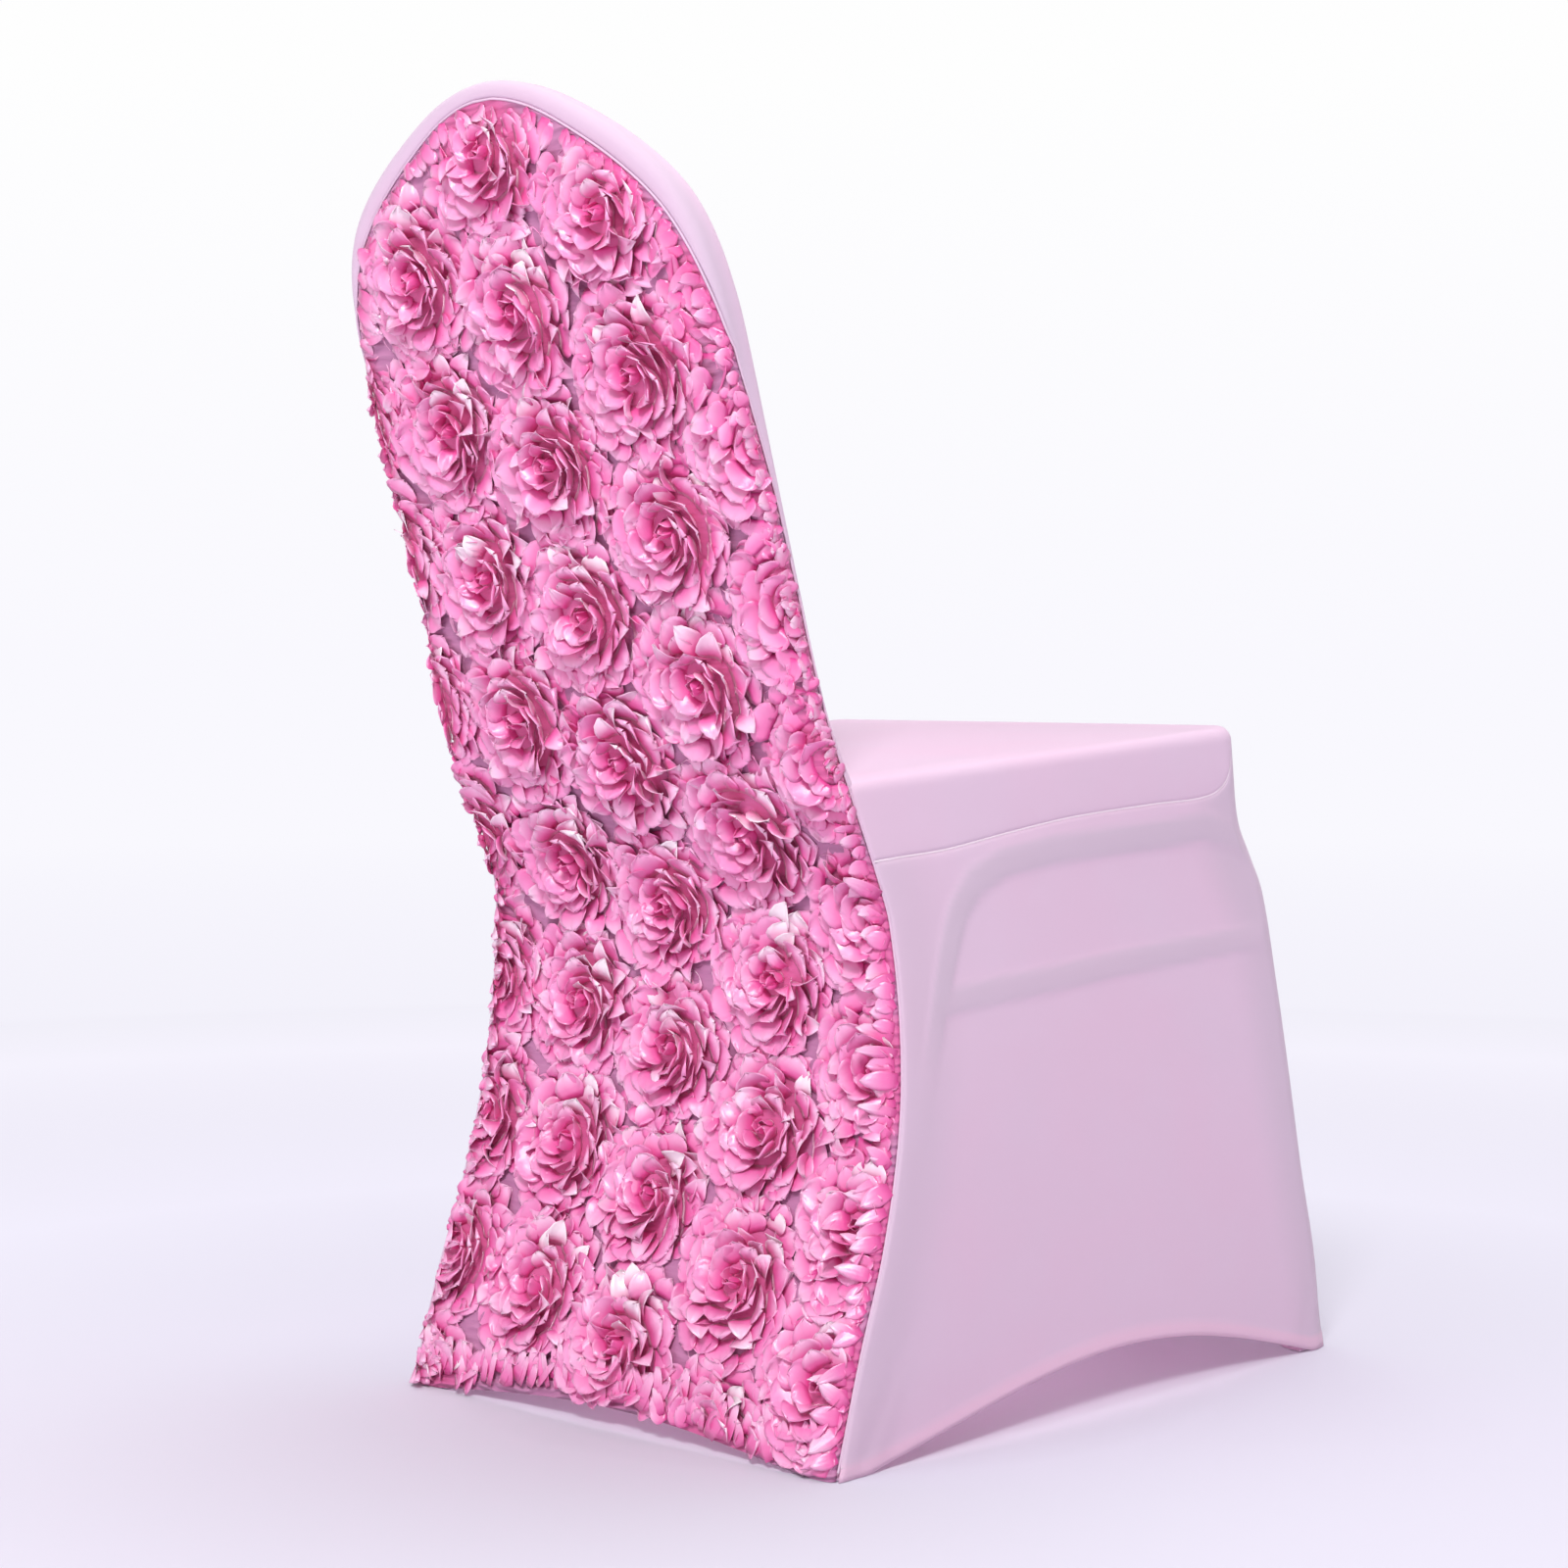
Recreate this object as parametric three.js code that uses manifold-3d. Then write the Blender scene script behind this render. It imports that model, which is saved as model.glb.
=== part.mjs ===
// Fitted stretch cover for a seat with a tall back, with satin rosettes sewn all over the back.
// Millimetres, +Z up, the seat's front towards -Y, the back's outer face towards +Y.
// The cover is one hollow shape cut along its seams into panels, as its maker cuts and sews it.
import * as THREE from "three";
import { mergeVertices } from "three/addons/utils/BufferGeometryUtils.js";
import Module from "manifold-3d";

const wasm = await Module();
wasm.setup();

// Driving dimensions
const CLOTH = 2; // thickness of the stretch cloth with its give
const SEAM_GAP = 0.3; // between panels that a seam joins
const BACK_THICKNESS = 26; // of the back's sleeve, rear face to front face
const BACK_EDGE_RADIUS = 9;
const SEAT_EDGE_RADIUS = 9;
const SEAT_FRONT_HEIGHT = 499;
const SEAT_FRONT_Y = -463;
const SEAT_SLOPE = 0.075; // rise of the seat towards its front, a share of its depth
const SEAT_CROWN = 7;
const CORNER_RADIUS = 22; // of the skirt at its front corners
const SIDE_BOW = 5; // how far the stretched side draws in at its middle
const CORE_DEPTH = 13; // how far inside the back sleeve the seat's shape begins
const REAR_RIDGE = 1.5; // how far the back's sleeve stands out past the skirt's side

// Heights where the sections were measured: the rear face, the half width at the rear and at the
// front, the front edge, and how far the rosette cloth wraps round the side before its seam.
const SECTIONS = [
  { up: 0, rear: 0, half: 222, frontHalf: 210, front: -600, wrap: 4 },
  { up: 80, rear: -24, half: 222, frontHalf: 210, front: -587, wrap: 4 },
  { up: 150, rear: -49, half: 221, frontHalf: 210, front: -569, wrap: 4 },
  { up: 230, rear: -68, half: 218, frontHalf: 210, front: -551, wrap: 4 },
  { up: 300, rear: -74, half: 213, frontHalf: 210, front: -534, wrap: 4 },
  { up: 370, rear: -71, half: 206, frontHalf: 209, front: -516, wrap: 4 },
  { up: 400, rear: -61, half: 203, frontHalf: 208, front: -500, wrap: 5 },
  { up: 425, rear: -49, half: 200, frontHalf: 209, front: -484, wrap: 8 },
  { up: 465, rear: -27, half: 195, frontHalf: 213, front: -472, wrap: 16 },
  { up: 520, rear: -5, half: 189, frontHalf: 215, front: -464, wrap: 20 },
  { up: 590, rear: 15, half: 187, frontHalf: 215, front: -464, wrap: 19 },
  { up: 670, rear: 39, half: 187, frontHalf: 215, front: -464, wrap: 16 },
  { up: 760, rear: 67, half: 188, frontHalf: 215, front: -464, wrap: 6 },
  { up: 830, rear: 89, half: 188, frontHalf: 215, front: -464, wrap: 4 },
  { up: 950, rear: 119, half: 188, frontHalf: 215, front: -464, wrap: 4 },
];

// The crown of the back from its shoulder to its middle, and how wide a border of plain
// cloth shows on the rear face between the edge and the rosette cloth.
const CROWN = [
  { across: 188, up: 752, border: 0 },
  { across: 187, up: 792, border: 5 },
  { across: 180, up: 829, border: 12 },
  { across: 165, up: 859, border: 16 },
  { across: 139, up: 885, border: 17 },
  { across: 98, up: 912, border: 16 },
  { across: 47, up: 936, border: 14 },
  { across: 0, up: 944, border: 13 },
];
const FAN_CENTRE_UP = 740; // the faces of the back close on this point above the shoulders
const SHOULDER_UP = CROWN[0].up;

// The seam round the seat: along the cushion's lower edge, then up to its front corner.
const SEAT_SEAM = [
  { along: 60, up: 405 },
  { along: -52, up: 414 },
  { along: -113, up: 418 },
  { along: -182, up: 427 },
  { along: -257, up: 436 },
  { along: -356, up: 443 },
  { along: -420, up: 447 },
  { along: -444, up: 457 },
  { along: -455, up: 475 },
  { along: -459, up: 496 },
  { along: -460, up: 560 },
];

// The hem arches up between the cover's four corners
const HEM_SIDE_RISE = 42;
const HEM_REAR_RISE = 14;
const HEM_FRONT_RISE = 30;
const HEM_SKEW = 1.15; // moves the side arch's top towards the front corner
const FOOT_WIDTH = 30; // of the hem left standing on the floor at each corner
const HEM_STEPS = 14;

// Rosettes sit in five upright rows, each row set off from the next
const ROSETTE_ROWS = [
  { across: -197, first: 57 },
  { across: -96, first: 9 },
  { across: 7, first: 58 },
  { across: 104, first: 86 },
  { across: 203, first: -1 },
];
const ROSETTE_PITCH = 105;
const ROSETTE_RADIUS = 49;
const ROSETTE_SECTORS = 12;
const ROSETTE_LIFT = 0.6; // of a rosette's underside above the cloth that it is sewn to
const ROSETTE_TOP = 905; // highest centre
const ROSETTE_EDGE = 2; // from a rosette's cut edge to the seam
const ROSETTE_OVERHANG = 4; // of the outer rows past the sides of the back
const ROSETTE_TAPER = 16; // over this distance from a seam the petals are drawn down flat

// One row for each ring of petals, from the bud outwards: shares of the radius, and heights
const PETAL_RINGS = [
  { lip: 0.2, lipHeight: 24, valley: 0.27, valleyHeight: 14 },
  { lip: 0.53, lipHeight: 20, valley: 0.6, valleyHeight: 9 },
  { lip: 0.94, lipHeight: 13, valley: 1.0, valleyHeight: 2 },
];
const BUD_HEIGHT = 18;
const ROOT_DEPTH = 8; // how far a rosette's rough shape reaches into the cloth before it is cut
const PETAL_SWELL = 0.07; // how far a petal's middle stands out past its ends
const PETAL_DIP = 0.3; // how much lower the notch between two petals is

const FOOT_PATCH_RADIUS = 42;
const FAR = 800; // past the cover on every side
const SIDE_STEPS = 22; // along the straight part of the back's outline
const CROWN_STEPS = 20;
const FACE_SHARES = [0, 0.5, 1];
const EDGE_STEPS = 2;

const PINK_SPANDEX = new THREE.MeshStandardMaterial({
  color: 0xf0cfe4,
  roughness: 0.75,
  metalness: 0,
});
const ROSETTE_SATIN = new THREE.MeshStandardMaterial({
  color: 0xe8619f,
  roughness: 0.4,
  metalness: 0,
});
const ROSETTE_NET = new THREE.MeshStandardMaterial({
  color: 0xc481a8,
  roughness: 0.6,
  metalness: 0,
});

// A smooth value between the rows of a table, by a Hermite curve through them.
function between(rows, key, name, at) {
  const last = rows.length - 1;
  const x = Math.min(Math.max(at, rows[0][key]), rows[last][key]);
  let i = 0;
  while (i < last - 1 && rows[i + 1][key] < x) i += 1;
  const slope = (j) => {
    const a = rows[Math.max(j - 1, 0)];
    const b = rows[Math.min(j + 1, last)];
    return (b[name] - a[name]) / (b[key] - a[key]);
  };
  const span = rows[i + 1][key] - rows[i][key];
  const t = (x - rows[i][key]) / span;
  const ease = t * t * (3 - 2 * t);
  return (
    rows[i][name] * (1 - ease) +
    rows[i + 1][name] * ease +
    span * t * (1 - t) * ((1 - t) * slope(i) - t * slope(i + 1))
  );
}

const section = (name, up) => between(SECTIONS, "up", name, up);

// Height of the seat's edge at a depth of the seat
const seatEdge = (y) => SEAT_FRONT_HEIGHT - SEAT_SLOPE * (y - SEAT_FRONT_Y);

// Solids from grids of points

function solidOf(geometry) {
  const bare = geometry.clone();
  bare.deleteAttribute("normal");
  bare.deleteAttribute("uv");
  const merged = mergeVertices(bare, 1e-3);
  const triVerts = [];
  const index = merged.index.array;
  for (let i = 0; i < index.length; i += 3) {
    const [a, b, c] = index.subarray(i, i + 3);
    if (a !== b && b !== c && c !== a) triVerts.push(a, b, c);
  }
  return new wasm.Manifold(
    new wasm.Mesh({
      numProp: 3,
      vertProperties: merged.attributes.position.array,
      triVerts: new Uint32Array(triVerts),
    }),
  );
}

function geometryOf(solid) {
  const mesh = solid.getMesh();
  const position = new THREE.BufferAttribute(mesh.vertProperties, 3);
  return new THREE.BufferGeometry()
    .setAttribute("position", position)
    .setIndex(new THREE.BufferAttribute(mesh.triVerts, 1));
}

// A closed solid whose skin is a list of four-cornered faces
function solidOfQuads(quads) {
  const points = quads.flatMap(([a, b, c, d]) => [a, b, c, a, c, d]);
  return solidOf(new THREE.BufferGeometry().setFromPoints(points));
}

// Faces between two lists of points, closed into a loop or not
function band(lower, upper, isLoop) {
  const faces = [];
  const count = isLoop ? lower.length : lower.length - 1;
  for (let i = 0; i < count; i += 1) {
    const next = (i + 1) % lower.length;
    faces.push([lower[i], lower[next], upper[next], upper[i]]);
  }
  return faces;
}

function loft(loops) {
  return solidOfQuads(loops.slice(1).flatMap((loop, i) => band(loops[i], loop, true)));
}

// A flat outline, pushed along X or along Y
function prism(points, from, to, alongX) {
  const shape = new THREE.Shape(points.map(([u, v]) => new THREE.Vector2(u, v)));
  const made = new THREE.ExtrudeGeometry(shape, { depth: to - from, bevelEnabled: false });
  made.translate(0, 0, from);
  if (alongX) {
    // The outline's u becomes Y, its v becomes Z, and its depth becomes X
    made.applyMatrix4(new THREE.Matrix4().set(0, 0, 1, 0, 1, 0, 0, 0, 0, 1, 0, 0, 0, 0, 0, 1));
  } else {
    // The outline's u becomes -X, its v becomes Z, and its depth becomes Y
    made.applyMatrix4(new THREE.Matrix4().set(-1, 0, 0, 0, 0, 0, 1, 0, 0, 1, 0, 0, 0, 0, 0, 1));
  }
  return solidOf(made);
}

// The back sleeve

// The outline of the back seen from behind, from its lower left round the crown to its lower
// right, as points with an outward normal and the width of the plain border there.
function backOutline(bottom) {
  const points = bottom < 0 ? [{ x: section("half", 0), z: bottom, border: 0 }] : [];
  for (let i = 0; i < SIDE_STEPS; i += 1) {
    const up = (SHOULDER_UP * i) / SIDE_STEPS;
    points.push({ x: section("half", up), z: up, border: 0 });
  }
  const half = CROWN.map((row) => new THREE.Vector3(row.across, row.up, row.border));
  const mirrored = half
    .slice(0, -1)
    .reverse()
    .map((p) => new THREE.Vector3(-p.x, p.y, p.z));
  const crown = new THREE.CatmullRomCurve3([...half, ...mirrored]);
  const right = points.map((p) => ({ x: -p.x, z: p.z, border: 0 })).reverse();
  for (const p of crown.getPoints(CROWN_STEPS)) {
    points.push({ x: p.x, z: p.y, border: Math.max(p.z, 0) });
  }
  points.push(...right);
  return points.map((p, i) => {
    const a = points[Math.max(i - 1, 0)];
    const b = points[Math.min(i + 1, points.length - 1)];
    const length = Math.hypot(b.x - a.x, b.z - a.z);
    return { ...p, nx: (b.z - a.z) / length, nz: -(b.x - a.x) / length };
  });
}

// The outline drawn in by an amount, as [across, up] pairs
function drawnIn(outline, amountAt) {
  return outline.map((p) => {
    const amount = amountAt(p);
    return [p.x - p.nx * amount, p.z - p.nz * amount];
  });
}

// The solid of the back's sleeve, smaller by inset on every side
function backSleeve(inset, bottom) {
  const outline = backOutline(bottom);
  const radius = BACK_EDGE_RADIUS - inset;
  const rim = [];
  for (let k = 0; k <= EDGE_STEPS; k += 1) {
    const angle = ((Math.PI / 2) * k) / EDGE_STEPS;
    const drawn = inset + radius * (1 - Math.sin(angle));
    rim.push({ drawn, drop: inset + radius * (1 - Math.cos(angle)) });
  }
  const frontRim = rim.map(({ drawn, drop }) => ({ drawn, drop: BACK_THICKNESS - drop }));
  const faceOf = (row) => FACE_SHARES.slice(0, -1).map((share) => ({ ...row, share }));
  const rows = [
    ...faceOf(rim[0]),
    ...rim.map((row) => ({ ...row, share: 1 })),
    ...frontRim.reverse().map((row) => ({ ...row, share: 1 })),
    ...faceOf({ ...rim[0], drop: BACK_THICKNESS - rim[0].drop }).reverse(),
  ];
  const lines = rows.map(({ drawn, drop, share }) =>
    drawnIn(outline, () => drawn).map(([x, z]) => {
      const anchor = Math.min(z, FAN_CENTRE_UP);
      const up = anchor + (z - anchor) * share;
      return new THREE.Vector3(x * share, section("rear", up) - drop, up);
    }),
  );
  const faces = lines.slice(1).flatMap((line, i) => band(lines[i], line, false));
  const last = outline.length - 1;
  for (let k = 0; k < lines.length - 1; k += 1) {
    faces.push([lines[k][0], lines[k + 1][0], lines[k + 1][last], lines[k][last]]);
  }
  return solidOfQuads(faces);
}

// The seat and skirt

// One level of the seat and skirt as a loop, seen from above, anticlockwise from the rear
function levelLoop(heightAt, inset, drawn) {
  const sides = 9;
  const corners = 3;
  const fronts = 4;
  const marks = [];
  for (let i = 0; i <= sides; i += 1) marks.push({ kind: "side", share: i / sides });
  for (let i = 1; i < corners; i += 1) marks.push({ kind: "corner", share: i / corners });
  for (let i = 0; i <= fronts / 2; i += 1) marks.push({ kind: "front", share: i / fronts });
  const half = marks.map(({ kind, share }) => {
    let y = SEAT_FRONT_Y / 2;
    let x = 0;
    for (let pass = 0; pass < 4; pass += 1) {
      const up = heightAt(y);
      const rear = section("rear", up) - CORE_DEPTH;
      const front = section("front", up) + inset + drawn;
      const radius = CORNER_RADIUS - inset;
      const bowHere = up < SEAT_SEAM[1].up ? Math.sin((Math.PI * up) / SEAT_SEAM[1].up) : 0;
      const widthAt = (depth) =>
        THREE.MathUtils.lerp(section("half", up) - REAR_RIDGE, section("frontHalf", up), depth) -
        SIDE_BOW * bowHere * Math.sin(Math.PI * depth) -
        inset -
        drawn;
      const corner = front + radius;
      if (kind === "side") {
        y = THREE.MathUtils.lerp(rear, corner, share);
        x = widthAt((rear - y) / (rear - front));
      } else {
        const turn = kind === "corner" ? (share * Math.PI) / 2 : Math.PI / 2;
        const reach = widthAt(1) - radius * (1 - Math.cos(turn));
        y = corner - radius * Math.sin(turn);
        x = kind === "corner" ? reach : reach * (1 - 2 * share);
      }
    }
    return new THREE.Vector3(x, y, heightAt(y));
  });
  const other = half.slice(0, -1).reverse();
  return [...half, ...other.map((p) => new THREE.Vector3(-p.x, p.y, p.z))].reverse();
}

// The solid of the seat and skirt, smaller by inset on every side but the bottom
function seatAndSkirt(inset, bottom) {
  const radius = SEAT_EDGE_RADIUS - inset;
  const shares = [0, 0.12, 0.25, 0.38, 0.5, 0.62, 0.73, 0.81, 0.87, 0.93, 1];
  const sideTop = (y) => seatEdge(y) - SEAT_EDGE_RADIUS;
  const loops = shares.map((share) => {
    const heightAt = (y) => sideTop(y) * share;
    return levelLoop(heightAt, inset, 0);
  });
  for (let k = 1; k <= EDGE_STEPS; k += 1) {
    const angle = ((Math.PI / 2) * k) / EDGE_STEPS;
    const heightAt = (y) => sideTop(y) + radius * Math.sin(angle);
    loops.push(levelLoop(heightAt, inset, radius * (1 - Math.cos(angle))));
  }
  const edge = loops[loops.length - 1];
  const middle = new THREE.Vector3(0, SEAT_FRONT_Y / 2, 0);
  for (const share of [0.8, 0.5, 0]) {
    loops.push(
      edge.map((p) => {
        const q = middle.clone().lerp(p, share);
        return q.setZ(seatEdge(q.y) - inset + SEAT_CROWN * (1 - share * share));
      }),
    );
  }
  const lowest = bottom < 0 ? [loops[0].map((p) => p.clone().setZ(bottom))] : [];
  const floor = loops[0].map(() => new THREE.Vector3(0, SEAT_FRONT_Y / 2, bottom));
  return loft([floor, ...lowest, ...loops]);
}

// Seams and hems, as the solids that the shell is cut with

// Everything on the rear side of the rosette cloth's side seams
function rearOfSeam(shift) {
  const steps = 32;
  const top = 990;
  const line = [];
  for (let i = 0; i <= steps; i += 1) {
    const up = -FOOT_WIDTH + ((top + FOOT_WIDTH) * i) / steps;
    line.push([section("rear", up) - section("wrap", up) + shift, up]);
  }
  return prism([...line, [FAR, top], [FAR, -FOOT_WIDTH]], -FAR, FAR, true);
}

// Everything inside the rosette cloth's outline, open to the sides below the shoulders
function insideCrown(extra) {
  const outline = backOutline(0).filter((p) => p.z >= SHOULDER_UP - 1);
  const seam = drawnIn(outline, (p) => (p.border > 0 ? p.border + extra : -BACK_EDGE_RADIUS));
  const widest = section("half", 0) + BACK_EDGE_RADIUS;
  const skirtSide = [widest, -FOOT_WIDTH];
  const shoulder = [widest, SHOULDER_UP - ROSETTE_PITCH];
  const mirror = ([x, z]) => [-x, z];
  return prism(
    [skirtSide, shoulder, ...seam, mirror(shoulder), mirror(skirtSide)].map(([x, z]) => [-x, z]),
    -FAR,
    FAR,
    false,
  );
}

// Everything within the back's outline and a little past it
function withinOutline(past) {
  return prism(
    drawnIn(backOutline(0), () => -past).map(([x, z]) => [-x, z]),
    -FAR,
    FAR,
    false,
  );
}

// Everything above the seat's seam, or below it
function aboveSeatSeam(shift) {
  const curve = new THREE.SplineCurve(
    SEAT_SEAM.map((row) => new THREE.Vector2(row.along, row.up)),
  );
  const line = curve.getPoints(28).map((p) => [p.x + shift, p.y + shift]);
  const top = line[line.length - 1];
  return prism([[FAR, line[0][1]], ...line, [top[0], FAR * 2], [FAR, FAR * 2]], -FAR, FAR, true);
}

// An arch between two corners, from the hem down to below the floor
function archPoints(from, to, rise, skew) {
  const points = [[from, -FOOT_WIDTH]];
  for (let i = 0; i <= HEM_STEPS; i += 1) {
    const share = i / HEM_STEPS;
    const up = rise * Math.sin(Math.PI * share ** skew);
    points.push([THREE.MathUtils.lerp(from, to, share), Math.max(up, 0) - 0.01]);
  }
  return [...points, [to, -FOOT_WIDTH]];
}

function hemCutters() {
  const rearHalf = section("half", 0) - FOOT_WIDTH;
  const frontHalf = section("frontHalf", 0) - FOOT_WIDTH;
  const frontY = section("front", 0);
  const sides = archPoints(-FOOT_WIDTH, frontY + FOOT_WIDTH, HEM_SIDE_RISE, HEM_SKEW);
  const rear = archPoints(-rearHalf, rearHalf, HEM_REAR_RISE, 1);
  const front = archPoints(-frontHalf, frontHalf, HEM_FRONT_RISE, 1);
  return prism(sides, -FAR, FAR, true)
    .add(prism(rear, -BACK_THICKNESS, FAR, false))
    .add(prism(front, -FAR, frontY + 2 * FOOT_WIDTH, false));
}

// Rosettes

// The rear face, with the rounding at its sides
function rearFace(x, z) {
  const half = section("half", z);
  const past = THREE.MathUtils.clamp(
    Math.abs(x) - half + BACK_EDGE_RADIUS,
    0,
    0.98 * BACK_EDGE_RADIUS,
  );
  const drop = BACK_EDGE_RADIUS - Math.sqrt(BACK_EDGE_RADIUS ** 2 - past ** 2);
  return section("rear", z) - drop;
}

const crownTop = CROWN.map(({ across, up, border }) => ({ across, up: up - border })).reverse();

// How far a point of the rear face is from the nearest seam or hem
function seamDistance(x, z) {
  const toSide = section("half", z) - Math.abs(x);
  const toCrown = (between(crownTop, "across", "up", Math.abs(x)) - z) * Math.SQRT1_2;
  return Math.max(Math.min(toSide, z < SHOULDER_UP ? toSide : toCrown, z), 0);
}

function rosette(centre, turn) {
  const at = (radius, height, k) => {
    const angle = turn + (2 * Math.PI * k) / ROSETTE_SECTORS;
    const x = centre.x - radius * Math.cos(angle);
    const z = centre.z + radius * Math.sin(angle);
    const lean = (section("rear", z + 1) - section("rear", z - 1)) / 2;
    const normal = new THREE.Vector3(0, 1, -lean).normalize();
    const taper = Math.min(seamDistance(x, z) / ROSETTE_TAPER, 1);
    const lift = height > 0 ? ROSETTE_LIFT + height * (0.15 + 0.85 * taper) : height;
    return new THREE.Vector3(x, rearFace(x, z), z).addScaledVector(normal, lift);
  };
  const loop = (radius, height, wave) =>
    Array.from({ length: ROSETTE_SECTORS }, (_, k) => {
      const swell = wave * (k % 2 ? -1 : 1);
      const share = 1 + PETAL_SWELL * swell;
      return at(radius * share, height * (1 - PETAL_DIP * (0.5 - swell / 2)), k);
    });
  const R = ROSETTE_RADIUS;
  const root = -ROOT_DEPTH;
  const loops = [loop(0, root, 0), loop(R, root, 0)];
  PETAL_RINGS.toReversed().forEach((ring, i) => {
    const wave = i % 2 ? -1 : 1;
    loops.push(loop(R * ring.valley, ring.valleyHeight, 0));
    loops.push(loop(R * ring.lip, ring.lipHeight, wave));
  });
  loops.push(loop(0, BUD_HEIGHT, 0));
  return loft(loops);
}

// The biggest body of a solid that a seam has cut
const biggest = (solid) => solid.decompose().sort((a, b) => b.volume() - a.volume())[0];

function rosetteCentres() {
  return ROSETTE_ROWS.flatMap(({ across, first }, row) => {
    const centres = [];
    for (let up = first; up <= ROSETTE_TOP; up += ROSETTE_PITCH) {
      const reach = Math.abs(across) > SHOULDER_UP / 5 ? SHOULDER_UP + ROSETTE_RADIUS : ROSETTE_TOP;
      if (up < reach) centres.push({ x: across, z: up, row });
    }
    return centres;
  });
}

// The cover

const floorCut = -3 * FOOT_WIDTH;
const outside = backSleeve(0, 0).add(seatAndSkirt(0, 0));
const hollow = backSleeve(CLOTH, floorCut).add(seatAndSkirt(CLOTH, floorCut));
const shell = outside.subtract(hollow).subtract(hemCutters());

const half = SEAM_GAP / 2;
const rosetteSide = rearOfSeam(half).intersect(insideCrown(half));
const plainSide = shell.subtract(rearOfSeam(-half).intersect(insideCrown(-half)));
const cover = new THREE.Group();

function place(name, solid, material) {
  const mesh = new THREE.Mesh(geometryOf(solid), material);
  mesh.name = name;
  cover.add(mesh);
}

place("rosette_cloth_back", shell.intersect(rosetteSide), ROSETTE_NET);
place("seat_and_inner_back", plainSide.intersect(aboveSeatSeam(half)), PINK_SPANDEX);
place("skirt", plainSide.subtract(aboveSeatSeam(-half)), PINK_SPANDEX);

const rearSpace = rearOfSeam(half)
  .intersect(insideCrown(ROSETTE_EDGE))
  .intersect(withinOutline(ROSETTE_OVERHANG))
  .subtract(backSleeve(-ROSETTE_LIFT, floorCut))
  .subtract(hemCutters())
  .trimByPlane([0, 0, 1], ROSETTE_EDGE);
rosetteCentres().forEach((centre, i) => {
  const number = String(i + 1).padStart(2, "0");
  place(`rosette_${number}`, biggest(rosette(centre, i).intersect(rearSpace)), ROSETTE_SATIN);
});

// A patch closes each corner of the cover underneath
const feet = [
  { name: "foot_patch_rear_left", x: section("half", 0), y: 0 },
  { name: "foot_patch_rear_right", x: -section("half", 0), y: 0 },
  { name: "foot_patch_front_left", x: section("frontHalf", 0), y: section("front", 0) },
  { name: "foot_patch_front_right", x: -section("frontHalf", 0), y: section("front", 0) },
];
const inCorner = backSleeve(CLOTH + SEAM_GAP, floorCut).add(
  seatAndSkirt(CLOTH + SEAM_GAP, floorCut),
);
for (const { name, x, y } of feet) {
  const disc = new THREE.CylinderGeometry(FOOT_PATCH_RADIUS, FOOT_PATCH_RADIUS, CLOTH, 24);
  disc.rotateX(Math.PI / 2).translate(x, y, CLOTH / 2);
  place(name, solidOf(disc).intersect(inCorner), PINK_SPANDEX);
}

// The origin is on the floor, under the middle of the cover's box
const box = new THREE.Box3().setFromObject(cover);
const centre = box.getCenter(new THREE.Vector3());
cover.position.set(-centre.x, -centre.y, -box.min.z);

export default cover;
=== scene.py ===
"""Chair cover of pale stretch cloth, its back covered with spiral satin rosettes.

Lengths in the tables are millimetres in the cover's own frame: x across, y = 0 at the rear
hem and smaller towards the front, z = 0 at the hem's lowest points. Meshes are in metres.
"""

import logging
import math
from dataclasses import dataclass, field
from enum import Enum
from functools import lru_cache
from typing import Any, Sequence

import bmesh
import bpy
import numpy as np
from mathutils import Matrix, Vector


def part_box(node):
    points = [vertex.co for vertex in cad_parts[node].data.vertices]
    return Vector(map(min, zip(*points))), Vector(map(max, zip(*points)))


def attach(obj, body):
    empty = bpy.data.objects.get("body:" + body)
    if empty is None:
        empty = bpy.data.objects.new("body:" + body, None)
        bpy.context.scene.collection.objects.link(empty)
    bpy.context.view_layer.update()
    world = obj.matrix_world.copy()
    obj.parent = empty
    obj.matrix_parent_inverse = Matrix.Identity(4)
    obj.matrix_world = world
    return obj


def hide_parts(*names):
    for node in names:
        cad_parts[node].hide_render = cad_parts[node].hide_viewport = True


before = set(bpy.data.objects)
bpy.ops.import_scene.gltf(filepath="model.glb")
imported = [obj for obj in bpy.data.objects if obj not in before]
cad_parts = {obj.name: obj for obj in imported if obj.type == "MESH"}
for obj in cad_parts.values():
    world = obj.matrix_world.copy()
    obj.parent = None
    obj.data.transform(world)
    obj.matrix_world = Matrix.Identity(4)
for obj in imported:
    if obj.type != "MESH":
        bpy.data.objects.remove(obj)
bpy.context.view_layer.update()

log = logging.getLogger("chair_cover")
MM = 0.001
Array = np.ndarray


def linear(code: str) -> tuple[float, float, float, float]:
    """A screen colour such as "F0C8E0" as the linear colour that shaders take."""
    parts = [int(code[i : i + 2], 16) / 255 for i in (0, 2, 4)]
    rgb = [p / 12.92 if p <= 0.04045 else ((p + 0.055) / 1.055) ** 2.4 for p in parts]
    return (rgb[0], rgb[1], rgb[2], 1.0)


# Node trees


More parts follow.
